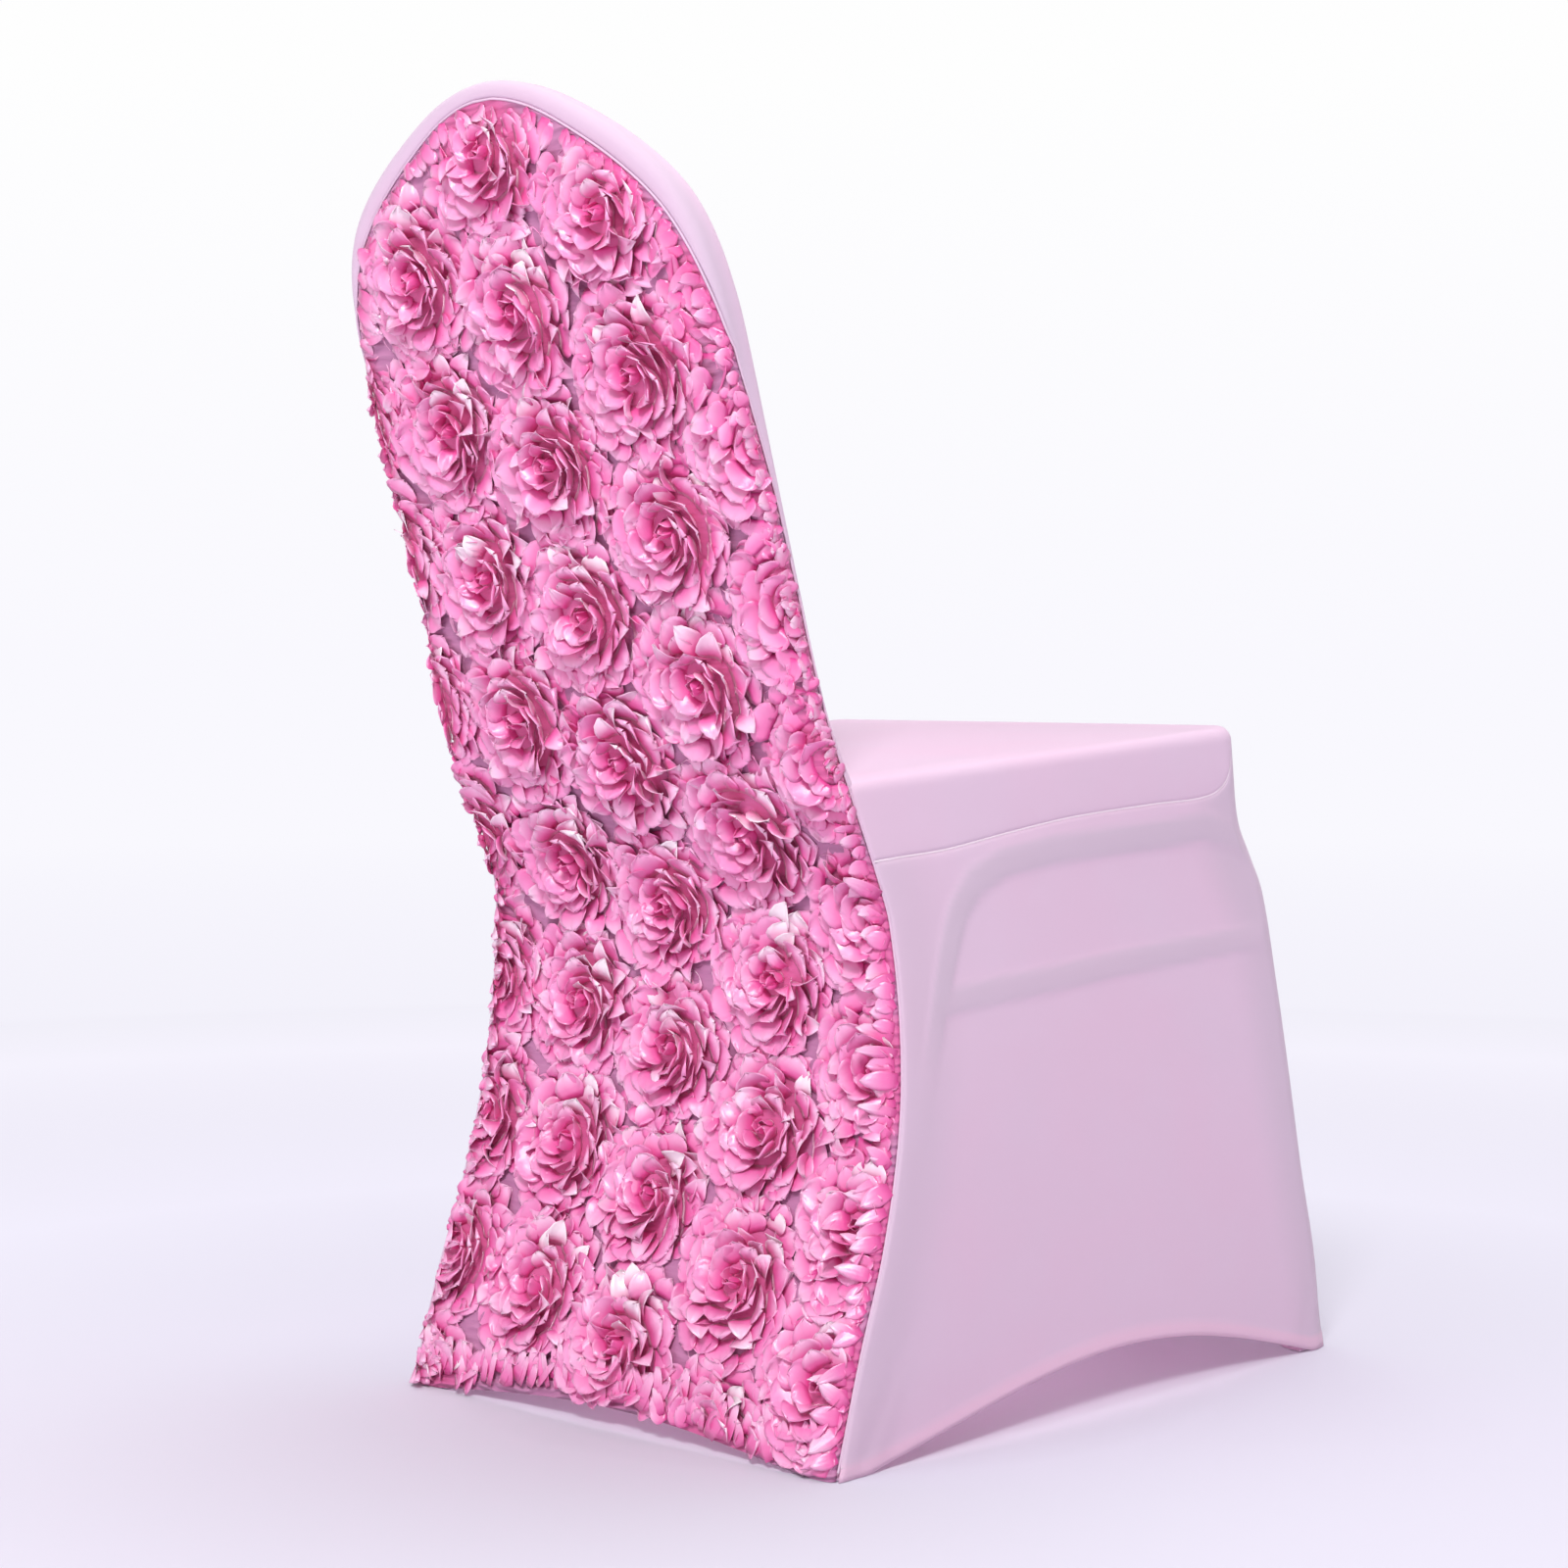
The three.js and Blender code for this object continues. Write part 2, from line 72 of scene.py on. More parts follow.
class Value:
    """One output socket that takes part in Python expressions."""

    def __init__(self, tree: "Tree", socket: Any) -> None:
        """Keeps the socket and the tree that it belongs to."""
        self.tree = tree
        self.socket = socket

    def _math(self, operation: str, *values: Any) -> "Value":
        """Adds one Math node on the given values."""
        inputs = dict(enumerate(values))
        return self.tree.add("ShaderNodeMath", {"operation": operation}, inputs)

    def __add__(self, other: Any) -> "Value":
        """self + other."""
        return self._math("ADD", self, other)

    __radd__ = __add__

    def __sub__(self, other: Any) -> "Value":
        """self - other."""
        return self._math("SUBTRACT", self, other)

    def __rsub__(self, other: Any) -> "Value":
        """other - self."""
        return self._math("SUBTRACT", other, self)

    def __mul__(self, other: Any) -> "Value":
        """self * other."""
        return self._math("MULTIPLY", self, other)

    __rmul__ = __mul__

    def __truediv__(self, other: Any) -> "Value":
        """self / other."""
        return self._math("DIVIDE", self, other)

    def __pow__(self, other: Any) -> "Value":
        """self raised to other."""
        return self._math("POWER", self, other)

    def clamped(self) -> "Value":
        """self held between 0 and 1."""
        return self._math("MINIMUM", self._math("MAXIMUM", self, 0.0), 1.0)

    def sine(self) -> "Value":
        """The sine of self."""
        return self._math("SINE", self)


class Tree:
    """A node tree, for a material or for geometry, built by calls."""

    def __init__(self, tree: Any) -> None:
        """Starts from an empty tree."""
        self.tree = tree
        tree.nodes.clear()

    def node(self, kind: str, settings: dict | None = None, inputs: dict | None = None) -> Any:
        """Adds a node.

        Args:
            kind: Blender's name of the node's type.
            settings: properties, set before the sockets.
            inputs: socket name or number to a constant or a Value.

        Returns:
            The node.
        """
        made = self.tree.nodes.new(kind)
        for name, value in (settings or {}).items():
            if name == "stops":
                self._ramp(made, value)
            else:
                setattr(made, name, value)
        for key, value in (inputs or {}).items():
            socket = made.inputs[key]
            if isinstance(value, Value):
                self.tree.links.new(value.socket, socket)
            else:
                socket.default_value = value
        return made

    def add(
        self,
        kind: str,
        settings: dict | None = None,
        inputs: dict | None = None,
        output: Any = 0,
    ) -> Value:
        """Adds a node as node() does and returns one of its outputs."""
        return Value(self, self.node(kind, settings, inputs).outputs[output])

    @staticmethod
    def _ramp(made: Any, stops: Sequence[tuple[float, tuple]]) -> None:
        """Sets a colour ramp's stops."""
        ramp = made.color_ramp
        while len(ramp.elements) < len(stops):
            ramp.elements.new(0.5)
        for element, (place, colour) in zip(ramp.elements, stops):
            element.position = place
            element.color = colour


class Paint(Tree):
    """A material's tree."""

    def __init__(self, name: str) -> None:
        """Makes the material and empties its tree."""
        self.material = bpy.data.materials.new(name)
        self.material.use_nodes = True
        super().__init__(self.material.node_tree)

    def place(self) -> Value:
        """Object coordinates, in metres."""
        return self.add("ShaderNodeTexCoord", output="Object")

    def attribute(self, name: str) -> Value:
        """A number kept on the mesh's points."""
        return self.add("ShaderNodeAttribute", {"attribute_name": name}, output="Fac")

    def noise(self, where: Value, scale: float, detail: float = 2.0) -> Value:
        """Soft noise from 0 to 1."""
        return self.add(
            "ShaderNodeTexNoise", None, {"Vector": where, "Scale": scale, "Detail": detail}
        )

    def stretched(self, where: Value, scale: tuple[float, float, float]) -> Value:
        """Coordinates multiplied per axis."""
        return self.add("ShaderNodeMapping", None, {"Vector": where, "Scale": scale})

    def mix(self, share: Any, a: Any, b: Any) -> Value:
        """A colour between a and b."""
        settings = {"data_type": "RGBA", "clamp_factor": True}
        return self.add("ShaderNodeMix", settings, {0: share, 6: a, 7: b}, 2)

    def bump(self, height: Value, strength: float, distance: float) -> Value:
        """A normal from a height."""
        return self.add(
            "ShaderNodeBump",
            None,
            {"Height": height, "Strength": strength, "Distance": distance},
            "Normal",
        )

    def finish(self, inputs: dict) -> Any:
        """Ends the tree in a Principled shader.

        Args:
            inputs: the shader's sockets by name.

        Returns:
            The material.
        """
        shader = self.add("ShaderNodeBsdfPrincipled", None, inputs, "BSDF")
        self.node("ShaderNodeOutputMaterial", None, {"Surface": shader})
        return self.material


class Branch(Tree):
    """A Geometry Nodes tree with named inputs."""

    def __init__(self, name: str, inputs: Sequence[tuple[str, str]]) -> None:
        """Makes the tree.

        Args:
            name: the tree's name.
            inputs: (name, socket type) of each input after the geometry.
        """
        tree = bpy.data.node_groups.new(name, "GeometryNodeTree")
        super().__init__(tree)
        tree.interface.new_socket("Geometry", in_out="INPUT", socket_type="NodeSocketGeometry")
        tree.interface.new_socket("Geometry", in_out="OUTPUT", socket_type="NodeSocketGeometry")
        for label, kind in inputs:
            tree.interface.new_socket(label, in_out="INPUT", socket_type=kind)
        self.source = self.node("NodeGroupInput")

    def given(self, label: str) -> Value:
        """One of the tree's own inputs."""
        return Value(self, self.source.outputs[label])

    def named(self, label: str, kind: str) -> Value:
        """An attribute of the geometry."""
        return self.add("GeometryNodeInputNamedAttribute", {"data_type": kind}, {"Name": label})

    def close(self, geometry: Value, material: Value) -> None:
        """Ends the tree in real geometry that has its material."""
        real = self.add("GeometryNodeRealizeInstances", None, {"Geometry": geometry})
        done = self.add("GeometryNodeSetMaterial", None, {"Geometry": real, "Material": material})
        self.node("NodeGroupOutput", None, {"Geometry": done})

    def run(self, piece: Any, values: dict) -> Any:
        """Runs the tree on a piece and leaves its result as a plain mesh.

        Args:
            piece: the object that carries the starting geometry.
            values: input name to value.

        Returns:
            The same object with its new mesh.
        """
        modifier = piece.modifiers.new(self.tree.name, "NODES")
        modifier.node_group = self.tree
        for item in self.tree.interface.items_tree:
            if item.in_out == "INPUT" and item.name in values:
                modifier[item.identifier] = values[item.name]
        return plain(piece)


def plain(piece: Any) -> Any:
    """Turns a piece with modifiers into a plain mesh."""
    graph = bpy.context.evaluated_depsgraph_get()
    mesh = bpy.data.meshes.new_from_object(
        piece.evaluated_get(graph), preserve_all_data_layers=True, depsgraph=graph
    )
    piece.modifiers.clear()
    piece.data = mesh
    mesh.name = piece.name
    return piece


# Finishes


@dataclass(frozen=True)
class StretchKnit:
    """The pale stretch cloth, matte with a soft sheen, greyer where it is stretched tight."""

    name: str = "stretch_knit"
    cloth: str = "E4C6DE"
    pressed: str = "D2BCD0"
    rosy: str = "E7C1DB"
    hem: str = "F4C4DE"
    rib: float = 900.0

    def build(self) -> Any:
        """Makes the material."""
        paint = Paint(self.name)
        place = paint.place()
        mottle = paint.noise(place, 9.0, 3.0)
        press = paint.attribute("press")
        tone = paint.mix((mottle - 0.35) * 1.6, linear(self.cloth), linear(self.rosy))
        tone = paint.mix(press * 0.85, tone, linear(self.pressed))
        tone = paint.mix(paint.attribute("hem") * 0.6, tone, linear(self.hem))
        wales = paint.add(
            "ShaderNodeTexWave",
            {"wave_type": "BANDS", "bands_direction": "DIAGONAL"},
            {"Vector": place, "Scale": self.rib, "Distortion": 1.5, "Detail": 1.0},
            "Fac",
        )
        fine = paint.noise(place, 2600.0, 1.0)
        return paint.finish(
            {
                "Base Color": tone,
                "Roughness": 0.62 + 0.1 * mottle,
                "Normal": paint.bump(wales * 0.6 + fine * 0.4, 0.35, 0.0003),
                "Specular IOR Level": 0.35,
                "Sheen Weight": 0.35,
                "Sheen Roughness": 0.4,
                "Sheen Tint": linear("FFF2FA"),
            }
        )


@dataclass(frozen=True)
class GatheredCloth:
    """The mauve cloth between the rosettes, gathered finely towards its seams, with painted shade
    in its creases and pleats and painted pink light under each rosette.
    """

    name: str = "gathered_cloth"
    cloth: str = "DE97C2"
    # Painted shade in the creases and pleats.
    shade: str = "B8709F"
    # Painted pink light from the petals, on the cloth under each rosette.
    rosy: str = "E0609F"

    def build(self) -> Any:
        """Makes the material."""
        paint = Paint(self.name)
        place = paint.place()
        edge = paint.attribute("gather")
        wander = paint.noise(place, 14.0, 2.0)
        level = paint.add("ShaderNodeSeparateXYZ", None, {0: place}, "Z")
        across = paint.add("ShaderNodeSeparateXYZ", None, {0: place}, "X")
        pleats = (level * 900.0 + wander * 26.0 + across * 40.0).sine() * 0.5 + 0.5
        creases = paint.noise(paint.stretched(place, (12.0, 30.0, 90.0)), 3.0, 4.0)
        mesh = (level * 6200.0).sine() * (across * 6200.0).sine() * 0.5 + 0.5
        # Painted shade: darker in the creases, and in the pleats by the seams.
        shade = creases * 0.7 + pleats * edge * 0.35
        height = creases * 0.7 + pleats * edge + mesh * 0.06
        tone = paint.mix((shade - 0.2) * 1.3, linear(self.shade), linear(self.cloth))
        return paint.finish(
            {
                # Painted pink light under the rosettes, set by the under attribute.
                "Base Color": paint.mix(
                    paint.attribute("under") * 0.85, tone, linear(self.rosy)
                ),
                "Roughness": 0.5 + 0.15 * creases,
                "Normal": paint.bump(height, 0.9, 0.002),
                "Specular IOR Level": 0.4,
                "Sheen Weight": 0.25,
            }
        )


@dataclass(frozen=True)
class PetalSatin:
    """Pink satin, with painted shade deep pink at a petal's root, a pale painted highlight at its
    lip, and a near-white painted highlight on the palest petals.
    """

    name: str = "petal_satin"
    # Painted shade: the deep pink at the petals' roots, between them; the bud takes it too.
    root: str = "EC409C"
    body: str = "FA95D0"
    # Painted highlight along the lips.
    lip: str = "FFCDEB"
    # Painted highlight, near white, on the palest petals.
    painted_glint: str = "FFEBF6"

    def build(self) -> Any:
        """Makes the material."""
        paint = Paint(self.name)
        place = paint.place()
        along = paint.attribute("along")
        shade = paint.attribute("shade")
        bud = paint.attribute("bud")
        mottle = paint.noise(place, 60.0, 2.0)
        thread = paint.noise(paint.stretched(place, (1.0, 1.0, 3.5)), 900.0, 1.0)
        # Painted shade: deep pink at the root, lighter along the petal; the bud is mixed towards
        # the same deep pink.
        tone = paint.mix(along ** 0.8, linear(self.root), linear(self.body))
        # Painted highlight: paler at the lip, more so on paler petals.
        tone = paint.mix((along - 0.4) * 1.3 * shade, tone, linear(self.lip))
        tone = paint.mix(bud * 0.8, tone, linear(self.root))
        tone = paint.mix((mottle - 0.55) * 0.5, tone, linear(self.lip))
        # Painted highlight: near white towards the tip of the palest petals.
        tone = paint.mix((shade - 1.3) * along * 1.1, tone, linear(self.painted_glint))
        return paint.finish(
            {
                "Base Color": tone,
                "Roughness": 0.29 + 0.12 * mottle,
                "Normal": paint.bump(thread * 0.4 + mottle, 0.3, 0.0012),
                "Specular IOR Level": 0.95,
                "Anisotropic": 0.3,
                "Coat Weight": 0.6,
                "Coat Roughness": 0.3,
                "Sheen Weight": 0.5,
                "Sheen Roughness": 0.3,
                "Sheen Tint": linear("FFD9EE"),
            }
        )


@dataclass(frozen=True)
class SewingThread:
    """Pale twisted thread, and the pale line of a seam's fold."""

    name: str = "sewing_thread"
    colour: str = "FBEAF5"

    def build(self) -> Any:
        """Makes the material."""
        paint = Paint(self.name)
        twist = paint.noise(paint.place(), 1800.0, 1.0)
        return paint.finish(
            {
                "Base Color": paint.mix(twist * 0.4, linear(self.colour), linear("D9B4CC")),
                "Roughness": 0.55 + 0.1 * twist,
                "Normal": paint.bump(twist, 0.4, 0.0003),
                "Sheen Weight": 0.3,
            }
        )


@dataclass(frozen=True)
class PaleFloor:
    """A pale studio floor with a painted glow that grows with distance."""

    name: str = "pale_floor"
    near: str = "D9D5E3"
    horizon: str = "F9F8FE"

    def build(self) -> Any:
        """Makes the material: far off its own colour fades out and the painted glow melts it into
        the background.
        """
        paint = Paint(self.name)
        place = paint.place()
        grain = paint.noise(place, 3.0, 1.0)
        away = paint.add("ShaderNodeVectorMath", {"operation": "LENGTH"}, {0: place}, "Value")
        # Far off the floor's own colour fades to black, leaving the painted glow.
        far = ((away - 0.3) / 2.4).clamped() ** 0.8
        near = paint.mix(grain * 0.15, linear(self.near), linear("D3CFDE"))
        # Painted glow: the floor emits light, more the farther it is from the cover.
        glow = paint.add(
            "ShaderNodeValToRGB",
            {
                "stops": (
                    (0.035, (0.0, 0.0, 0.0, 1.0)),
                    (0.125, (0.42, 0.41, 0.46, 1.0)),
                    (0.275, (0.82, 0.8, 0.88, 1.0)),
                    (0.35, (0.9, 0.885, 0.965, 1.0)),
                    (0.95, linear(self.horizon)),
                )
            },
            {"Fac": away / 8.0},
            "Color",
        )
        return paint.finish(
            {
                "Base Color": paint.mix(far, near, (0.0, 0.0, 0.0, 1.0)),
                "Roughness": 0.7,
                "Specular IOR Level": 0.0,
                "Emission Color": glow,
                "Emission Strength": 1.0,
            }
        )


# The measured form


@dataclass(frozen=True)
class Table:
    """Rows of measures, read by a smooth curve through them."""

    columns: tuple[str, ...]
    rows: tuple[tuple[float, ...], ...]

    def column(self, name: str) -> Array:
        """One column as numbers."""
        return np.array([row[self.columns.index(name)] for row in self.rows], float)

    def at(self, name: str, where: Any) -> Array:
        """Reads a column at places along the first column.

        Args:
            name: the column to read.
            where: one place or many.

        Returns:
            The values there, by a Hermite curve.
        """
        keys, values = self.column(self.columns[0]), self.column(name)
        slopes = np.empty(len(keys))
        slopes[1:-1] = (values[2:] - values[:-2]) / (keys[2:] - keys[:-2])
        slopes[0] = (values[1] - values[0]) / (keys[1] - keys[0])
        slopes[-1] = (values[-1] - values[-2]) / (keys[-1] - keys[-2])
        x = np.clip(np.asarray(where, float), keys[0], keys[-1])
        i = np.clip(np.searchsorted(keys, x, side="left") - 1, 0, len(keys) - 2)
        span = keys[i + 1] - keys[i]
        t = (x - keys[i]) / span
        ease = t * t * (3 - 2 * t)
        bend = (1 - t) * slopes[i] - t * slopes[i + 1]
        return values[i] * (1 - ease) + values[i + 1] * ease + span * t * (1 - t) * bend


SECTIONS = Table(
    ("up", "rear", "half", "front_half", "front", "wrap"),
    (
        (0, 0, 222, 210, -600, 4),
        (80, -24, 222, 210, -587, 4),
        (150, -49, 221, 210, -569, 4),
        (230, -68, 218, 210, -551, 4),
        (300, -74, 213, 210, -534, 4),
        (370, -71, 206, 209, -516, 4),
        (400, -61, 203, 208, -500, 5),
        (425, -49, 200, 209, -484, 8),
        (465, -27, 195, 213, -472, 16),
        (520, -5, 189, 215, -464, 20),
        (590, 15, 187, 215, -464, 19),
        (670, 39, 187, 215, -464, 16),
        (760, 67, 188, 215, -464, 6),
        (830, 89, 188, 215, -464, 4),
        (950, 119, 188, 215, -464, 4),
    ),
)
CROWN = Table(
    ("across", "up", "border"),
    (
        (188, 752, 0),
        (187, 792, 5),
        (180, 829, 12),
        (165, 859, 16),
        (139, 885, 17),
        (98, 912, 16),
        (47, 936, 14),
        (0, 944, 13),
    ),
)
SEAT_SEAM = Table(
    ("along", "up"),
    (
        (-460, 496),
        (-459, 488),
        (-455, 475),
        (-444, 457),
        (-420, 447),
        (-356, 443),
        (-257, 436),
        (-182, 427),
        (-113, 418),
        (-52, 414),
        (60, 405),
    ),
)


def ramp(value: Array, low: float, high: float) -> Array:
    """A smooth step from 0 at low to 1 at high."""
    t = np.clip((value - low) / (high - low), 0, 1)
    return t * t * (3 - 2 * t)


@dataclass(frozen=True)
class CoverForm:
    """The cover's measured shape, as functions of place."""

    thickness: float = 26.0
    edge: float = 9.0
    seat_front_height: float = 499.0
    seat_front: float = -463.0
    front_foot: float = -600.0
    seat_slope: float = 0.075
    seat_crown: float = 7.0
    corner: float = 22.0
    bow: float = 5.0
    bow_top: float = 414.0
    shoulder: float = 752.0
    cloth_top: float = 930.6
    fan_centre: float = 740.0
    foot: float = 30.0
    side_rise: float = 42.0
    rear_rise: float = 14.0
    front_rise: float = 30.0

    def shift(self) -> Array:
        """From the tables' frame to the row frame, in millimetres."""
        low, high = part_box("skirt")
        return np.array([(low.x + high.x) / MM / 2, low.y / MM - self.front_foot, 0.0])

    def to_row(self, points: Array) -> Array:
        """Points in the tables' frame as metres in the row frame."""
        return (np.asarray(points, float) + self.shift()) * MM

    def rear(self, up: Any) -> Array:
        """The rear face's y at a height."""
        return SECTIONS.at("rear", up)

    def round_edge(self, wrap: Array) -> Array:
        """How far a wrap towards the front reaches, measured round the edge."""
        turn = np.arccos(1 - np.clip(wrap / self.edge, 0, 1))
        return self.edge * turn + np.maximum(wrap - self.edge, 0)

    def climb(self, start: float, bend: float, low: int, high: int) -> Array:
        """Heights up the rosette cloth: even ones to bend, then closer ones to its top."""
        near_top = np.sin(np.linspace(0, math.pi / 2, high)[1:])
        return np.concatenate(
            [np.linspace(start, bend, low), bend + (self.cloth_top - bend) * near_top]
        )

    def seat_edge(self, y: Any) -> Array:
        """The height of the seat's edge at a depth."""
        return self.seat_front_height - self.seat_slope * (np.asarray(y) - self.seat_front)

    def seam_reach(self, up: Array) -> Array:
        """How far round the rear face's section the rosette cloth reaches, from the middle."""
        r = self.edge
        flat = SECTIONS.at("half", up) - r
        reach = flat + self.round_edge(SECTIONS.at("wrap", up))
        seam = self.crown_seam()
        across = np.interp(up, seam[:, 1], seam[:, 0])
        past = np.clip((across - flat) / r, -1, 1)
        crown = np.where(across <= flat, across, flat + r * np.arcsin(past))
        return np.where(up > self.shoulder, np.minimum(reach, crown), reach)

    def outline(self, steps: int) -> Array:
        """The crown's outline from its left shoulder to its right one: x, z, nx, nz, border."""
        rows = np.stack([CROWN.column(c) for c in CROWN.columns], axis=1)
        loop = np.concatenate([rows, (rows[:-1] * [-1, 1, 1])[::-1]])
        length = np.concatenate(
            [[0], np.cumsum(np.linalg.norm(np.diff(loop[:, :2], axis=0), axis=1))]
        )
        smooth = Table(
            ("length", "x", "z", "border"),
            tuple(map(tuple, np.column_stack([length, loop]))),
        )
        at = np.linspace(0, length[-1], steps)
        x, z = smooth.at("x", at), smooth.at("z", at)
        border = np.maximum(smooth.at("border", at), 0)
        dx, dz = np.gradient(x, at), np.gradient(z, at)
        size = np.hypot(dx, dz)
        return np.stack([x, z, dz / size, -dx / size, border], axis=1)

    @lru_cache
    def crown_seam(self) -> Array:
        """The rosette cloth's upper seam on one side, as (half width, height), rising."""
        line = self.outline(161)[:81]
        seam = line[:, :2] - line[:, 2:4] * line[:, 4:5]
        return seam[np.argsort(seam[:, 1])]

    def seam_gap(self, around: Array, up: Array) -> Array:
        """How far a point of the rosette cloth is from its nearest seam."""
        seam = self.crown_seam()[::-1]
        top = np.interp(np.abs(around), seam[:, 0], seam[:, 1], right=1e4)
        return np.minimum(self.seam_reach(up) - np.abs(around), (top - up) * 0.9)

    def rear_hem(self, x: Array) -> Array:
        """The rear hem's height."""
        reach = SECTIONS.at("half", 0) - self.foot
        return self.rear_rise * np.maximum(np.cos(np.clip(x / reach, -1, 1) * math.pi / 2), 0)

    def rear_point(self, around: Array, up: Array, lift: Any = 0.0) -> tuple[Array, Array]:
        """A point of the rear face and its outward normal.

        Args:
            around: distance from the middle, measured along the cloth round its edge.
            up: height.
            lift: distance off the cloth.

        Returns:
            The points and the normals.
        """
        r = self.edge
        half = SECTIONS.at("half", up)
        flat = half - r
        s = np.abs(around)
        turn = np.clip((s - flat) / r, 0, math.pi / 2)
        past = np.maximum(s - flat - r * math.pi / 2, 0)
        x = np.sign(around) * (np.minimum(s, flat) + r * np.sin(turn))
        y = self.rear(up) - r * (1 - np.cos(turn)) - past
        slope = (self.rear(np.asarray(up) + 2) - self.rear(np.asarray(up) - 2)) / 4
        normal = np.stack(
            [np.sign(around) * np.sin(turn), np.cos(turn), -slope * np.cos(turn)], axis=-1
        )
        normal /= np.linalg.norm(normal, axis=-1, keepdims=True)
        point = np.stack([x, y, up * np.ones_like(x)], axis=-1)
        return point + normal * np.asarray(lift)[..., None], normal

    def side_hem(self, share: Array) -> Array:
        """The side hem's height at a share of the way from the rear foot to the front one."""
        rise = self.side_rise * np.sin(math.pi * np.clip(share, 0, 1) ** 1.15)
        return np.maximum(rise, 0)


FORM = CoverForm()


# Meshes


def grid_faces(rows: int, columns: int, closed: bool = False) -> Array:
    """Four-cornered faces of a grid of points, row by row."""
    r = np.arange(rows - 1)[:, None]
    c = np.arange(columns if closed else columns - 1)[None, :]
    n = (c + 1) % columns
    corners = [r * columns + c, r * columns + n, (r + 1) * columns + n, (r + 1) * columns + c]
    return np.stack([k.ravel() for k in corners], axis=-1)


def grid_rim(rows: int, columns: int) -> Array:
    """The numbers of the points round a grid's edge, in order."""
    return np.concatenate(
        [
            np.arange(columns),
            np.arange(2, rows + 1) * columns - 1,
            (rows - 1) * columns + np.arange(columns - 2, -1, -1),
            np.arange(rows - 2, 0, -1) * columns,
        ]
    )


def make_piece(
    name: str,
    points: Array,
    faces: Sequence,
    numbers: dict[str, Array] | None = None,
    edges: Sequence = (),
) -> Any:
    """Makes a mesh object.

    Args:
        name: the object's name.
        points: its points, in metres in the row frame.
        faces: its faces.
        numbers: attribute name to one number for each point.
        edges: its loose edges, for a path.

    Returns:
        The object, linked to the scene.
    """
    mesh = bpy.data.meshes.new(name)
    mesh.from_pydata([tuple(p) for p in points], [tuple(e) for e in edges], faces)
    for label, values in (numbers or {}).items():
        layer = mesh.attributes.new(label, "FLOAT", "POINT")
        layer.data.foreach_set("value", np.asarray(values, np.float32).ravel())
    mesh.polygons.foreach_set("use_smooth", np.ones(len(mesh.polygons), bool))
    mesh.update()
    piece = bpy.data.objects.new(name, mesh)
    bpy.context.scene.collection.objects.link(piece)
    return piece


def grid_piece(name: str, grid: Array, numbers: dict[str, Array]) -> Any:
    """Makes a piece from a grid of points in the tables' frame."""
    faces = grid_faces(*grid.shape[:2]).tolist()
    return make_piece(name, FORM.to_row(grid.reshape(-1, 3)), faces, numbers)


def normals_of(grid: Array) -> Array:
    """Unit normals of a grid of points, from its neighbours."""
    down = np.gradient(grid, axis=0)
    along = np.gradient(grid, axis=1)
    made = np.cross(along, down)
    size = np.linalg.norm(made, axis=-1, keepdims=True)
    return made / np.maximum(size, 1e-9)


def thicken(piece: Any, depth: float) -> Any:
    """Gives a sheet its thickness, inwards, and makes it a plain mesh."""
    solid = piece.modifiers.new("thickness", "SOLIDIFY")
    solid.thickness = depth
    solid.offset = -1.0
    solid.use_even_offset = False
    return plain(piece)


def dress(piece: Any, material: Any, nodes: Sequence[str] = ()) -> Any:
    """Gives a piece its material, hangs it on the root body and hides the solids that it replaces.

    Args:
        piece: the object.
        material: its finish, or None if it has one.
        nodes: the solids that it replaces.

    Returns:
        The object.
    """
    if material is not None:
        piece.data.materials.clear()
        piece.data.materials.append(material)
    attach(piece, "root")
    if nodes:
        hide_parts(*nodes)
    log.info("%s: %d faces", piece.name, len(piece.data.polygons))
    return piece


# Panels


@dataclass
class RosetteCloth:
    """The cloth that the rosettes are sewn to, wrapped a little round the sides."""

    across: int = 121
    even_levels: int = 210
    top_levels: int = 41
    bend: float = 860.0
    puff: float = 0.35
    groove: float = 1.4
    # Distances from a rosette's centre over which the painted pink light under it fades.
    shaded: tuple[float, float] = (34.0, 50.0)
    cloth: float = 0.0009
    form: CoverForm = FORM

    def surface(self) -> tuple[Array, Array, Array]:
        """The grid of points, how near each is to a seam, and how far under a rosette, for the
        painted pink light there.
        """
        up = self.form.climb(0, self.bend, self.even_levels, self.top_levels)[:, None]
        share = np.linspace(1, -1, self.across)[None, :]
        reach = self.form.seam_reach(up)
        around = share * reach
        level = up + self.form.rear_hem(around) * np.clip(1 - up / 150, 0, 1)
        to_seam = reach - np.abs(around)
        # How far under a rosette each point is: where the cloth gets painted pink light.
        under = np.zeros_like(level)
        rosettes = Rosettes()
        for row in rosettes.rows:
            for centre in rosettes.centres(row):
                away = np.hypot(around - row.across, level - centre)
                under = np.maximum(under, 1 - ramp(away, *self.shaded))
        waves = np.sin(around / 9.1 + up / 23.0) * self.puff
        waves = waves + np.sin(up / 15.0 + around / 31) * self.puff
        sink = -self.groove * np.exp(-((to_seam / 2.2) ** 2))
        points, _ = self.form.rear_point(around, level, waves * ramp(to_seam, 0, 12) + sink)
        gather = np.maximum(np.exp(-to_seam / 24), np.exp(-up / 34) * np.ones_like(share))
        return points, gather, under

    def build(self, material: Any) -> Any:
        """Makes the panel."""
        points, gather, under = self.surface()
        piece = grid_piece("rosette_cloth", points, {"gather": gather, "under": under})
        thicken(piece, self.cloth)
        return dress(piece, material, ["rosette_cloth_back"])


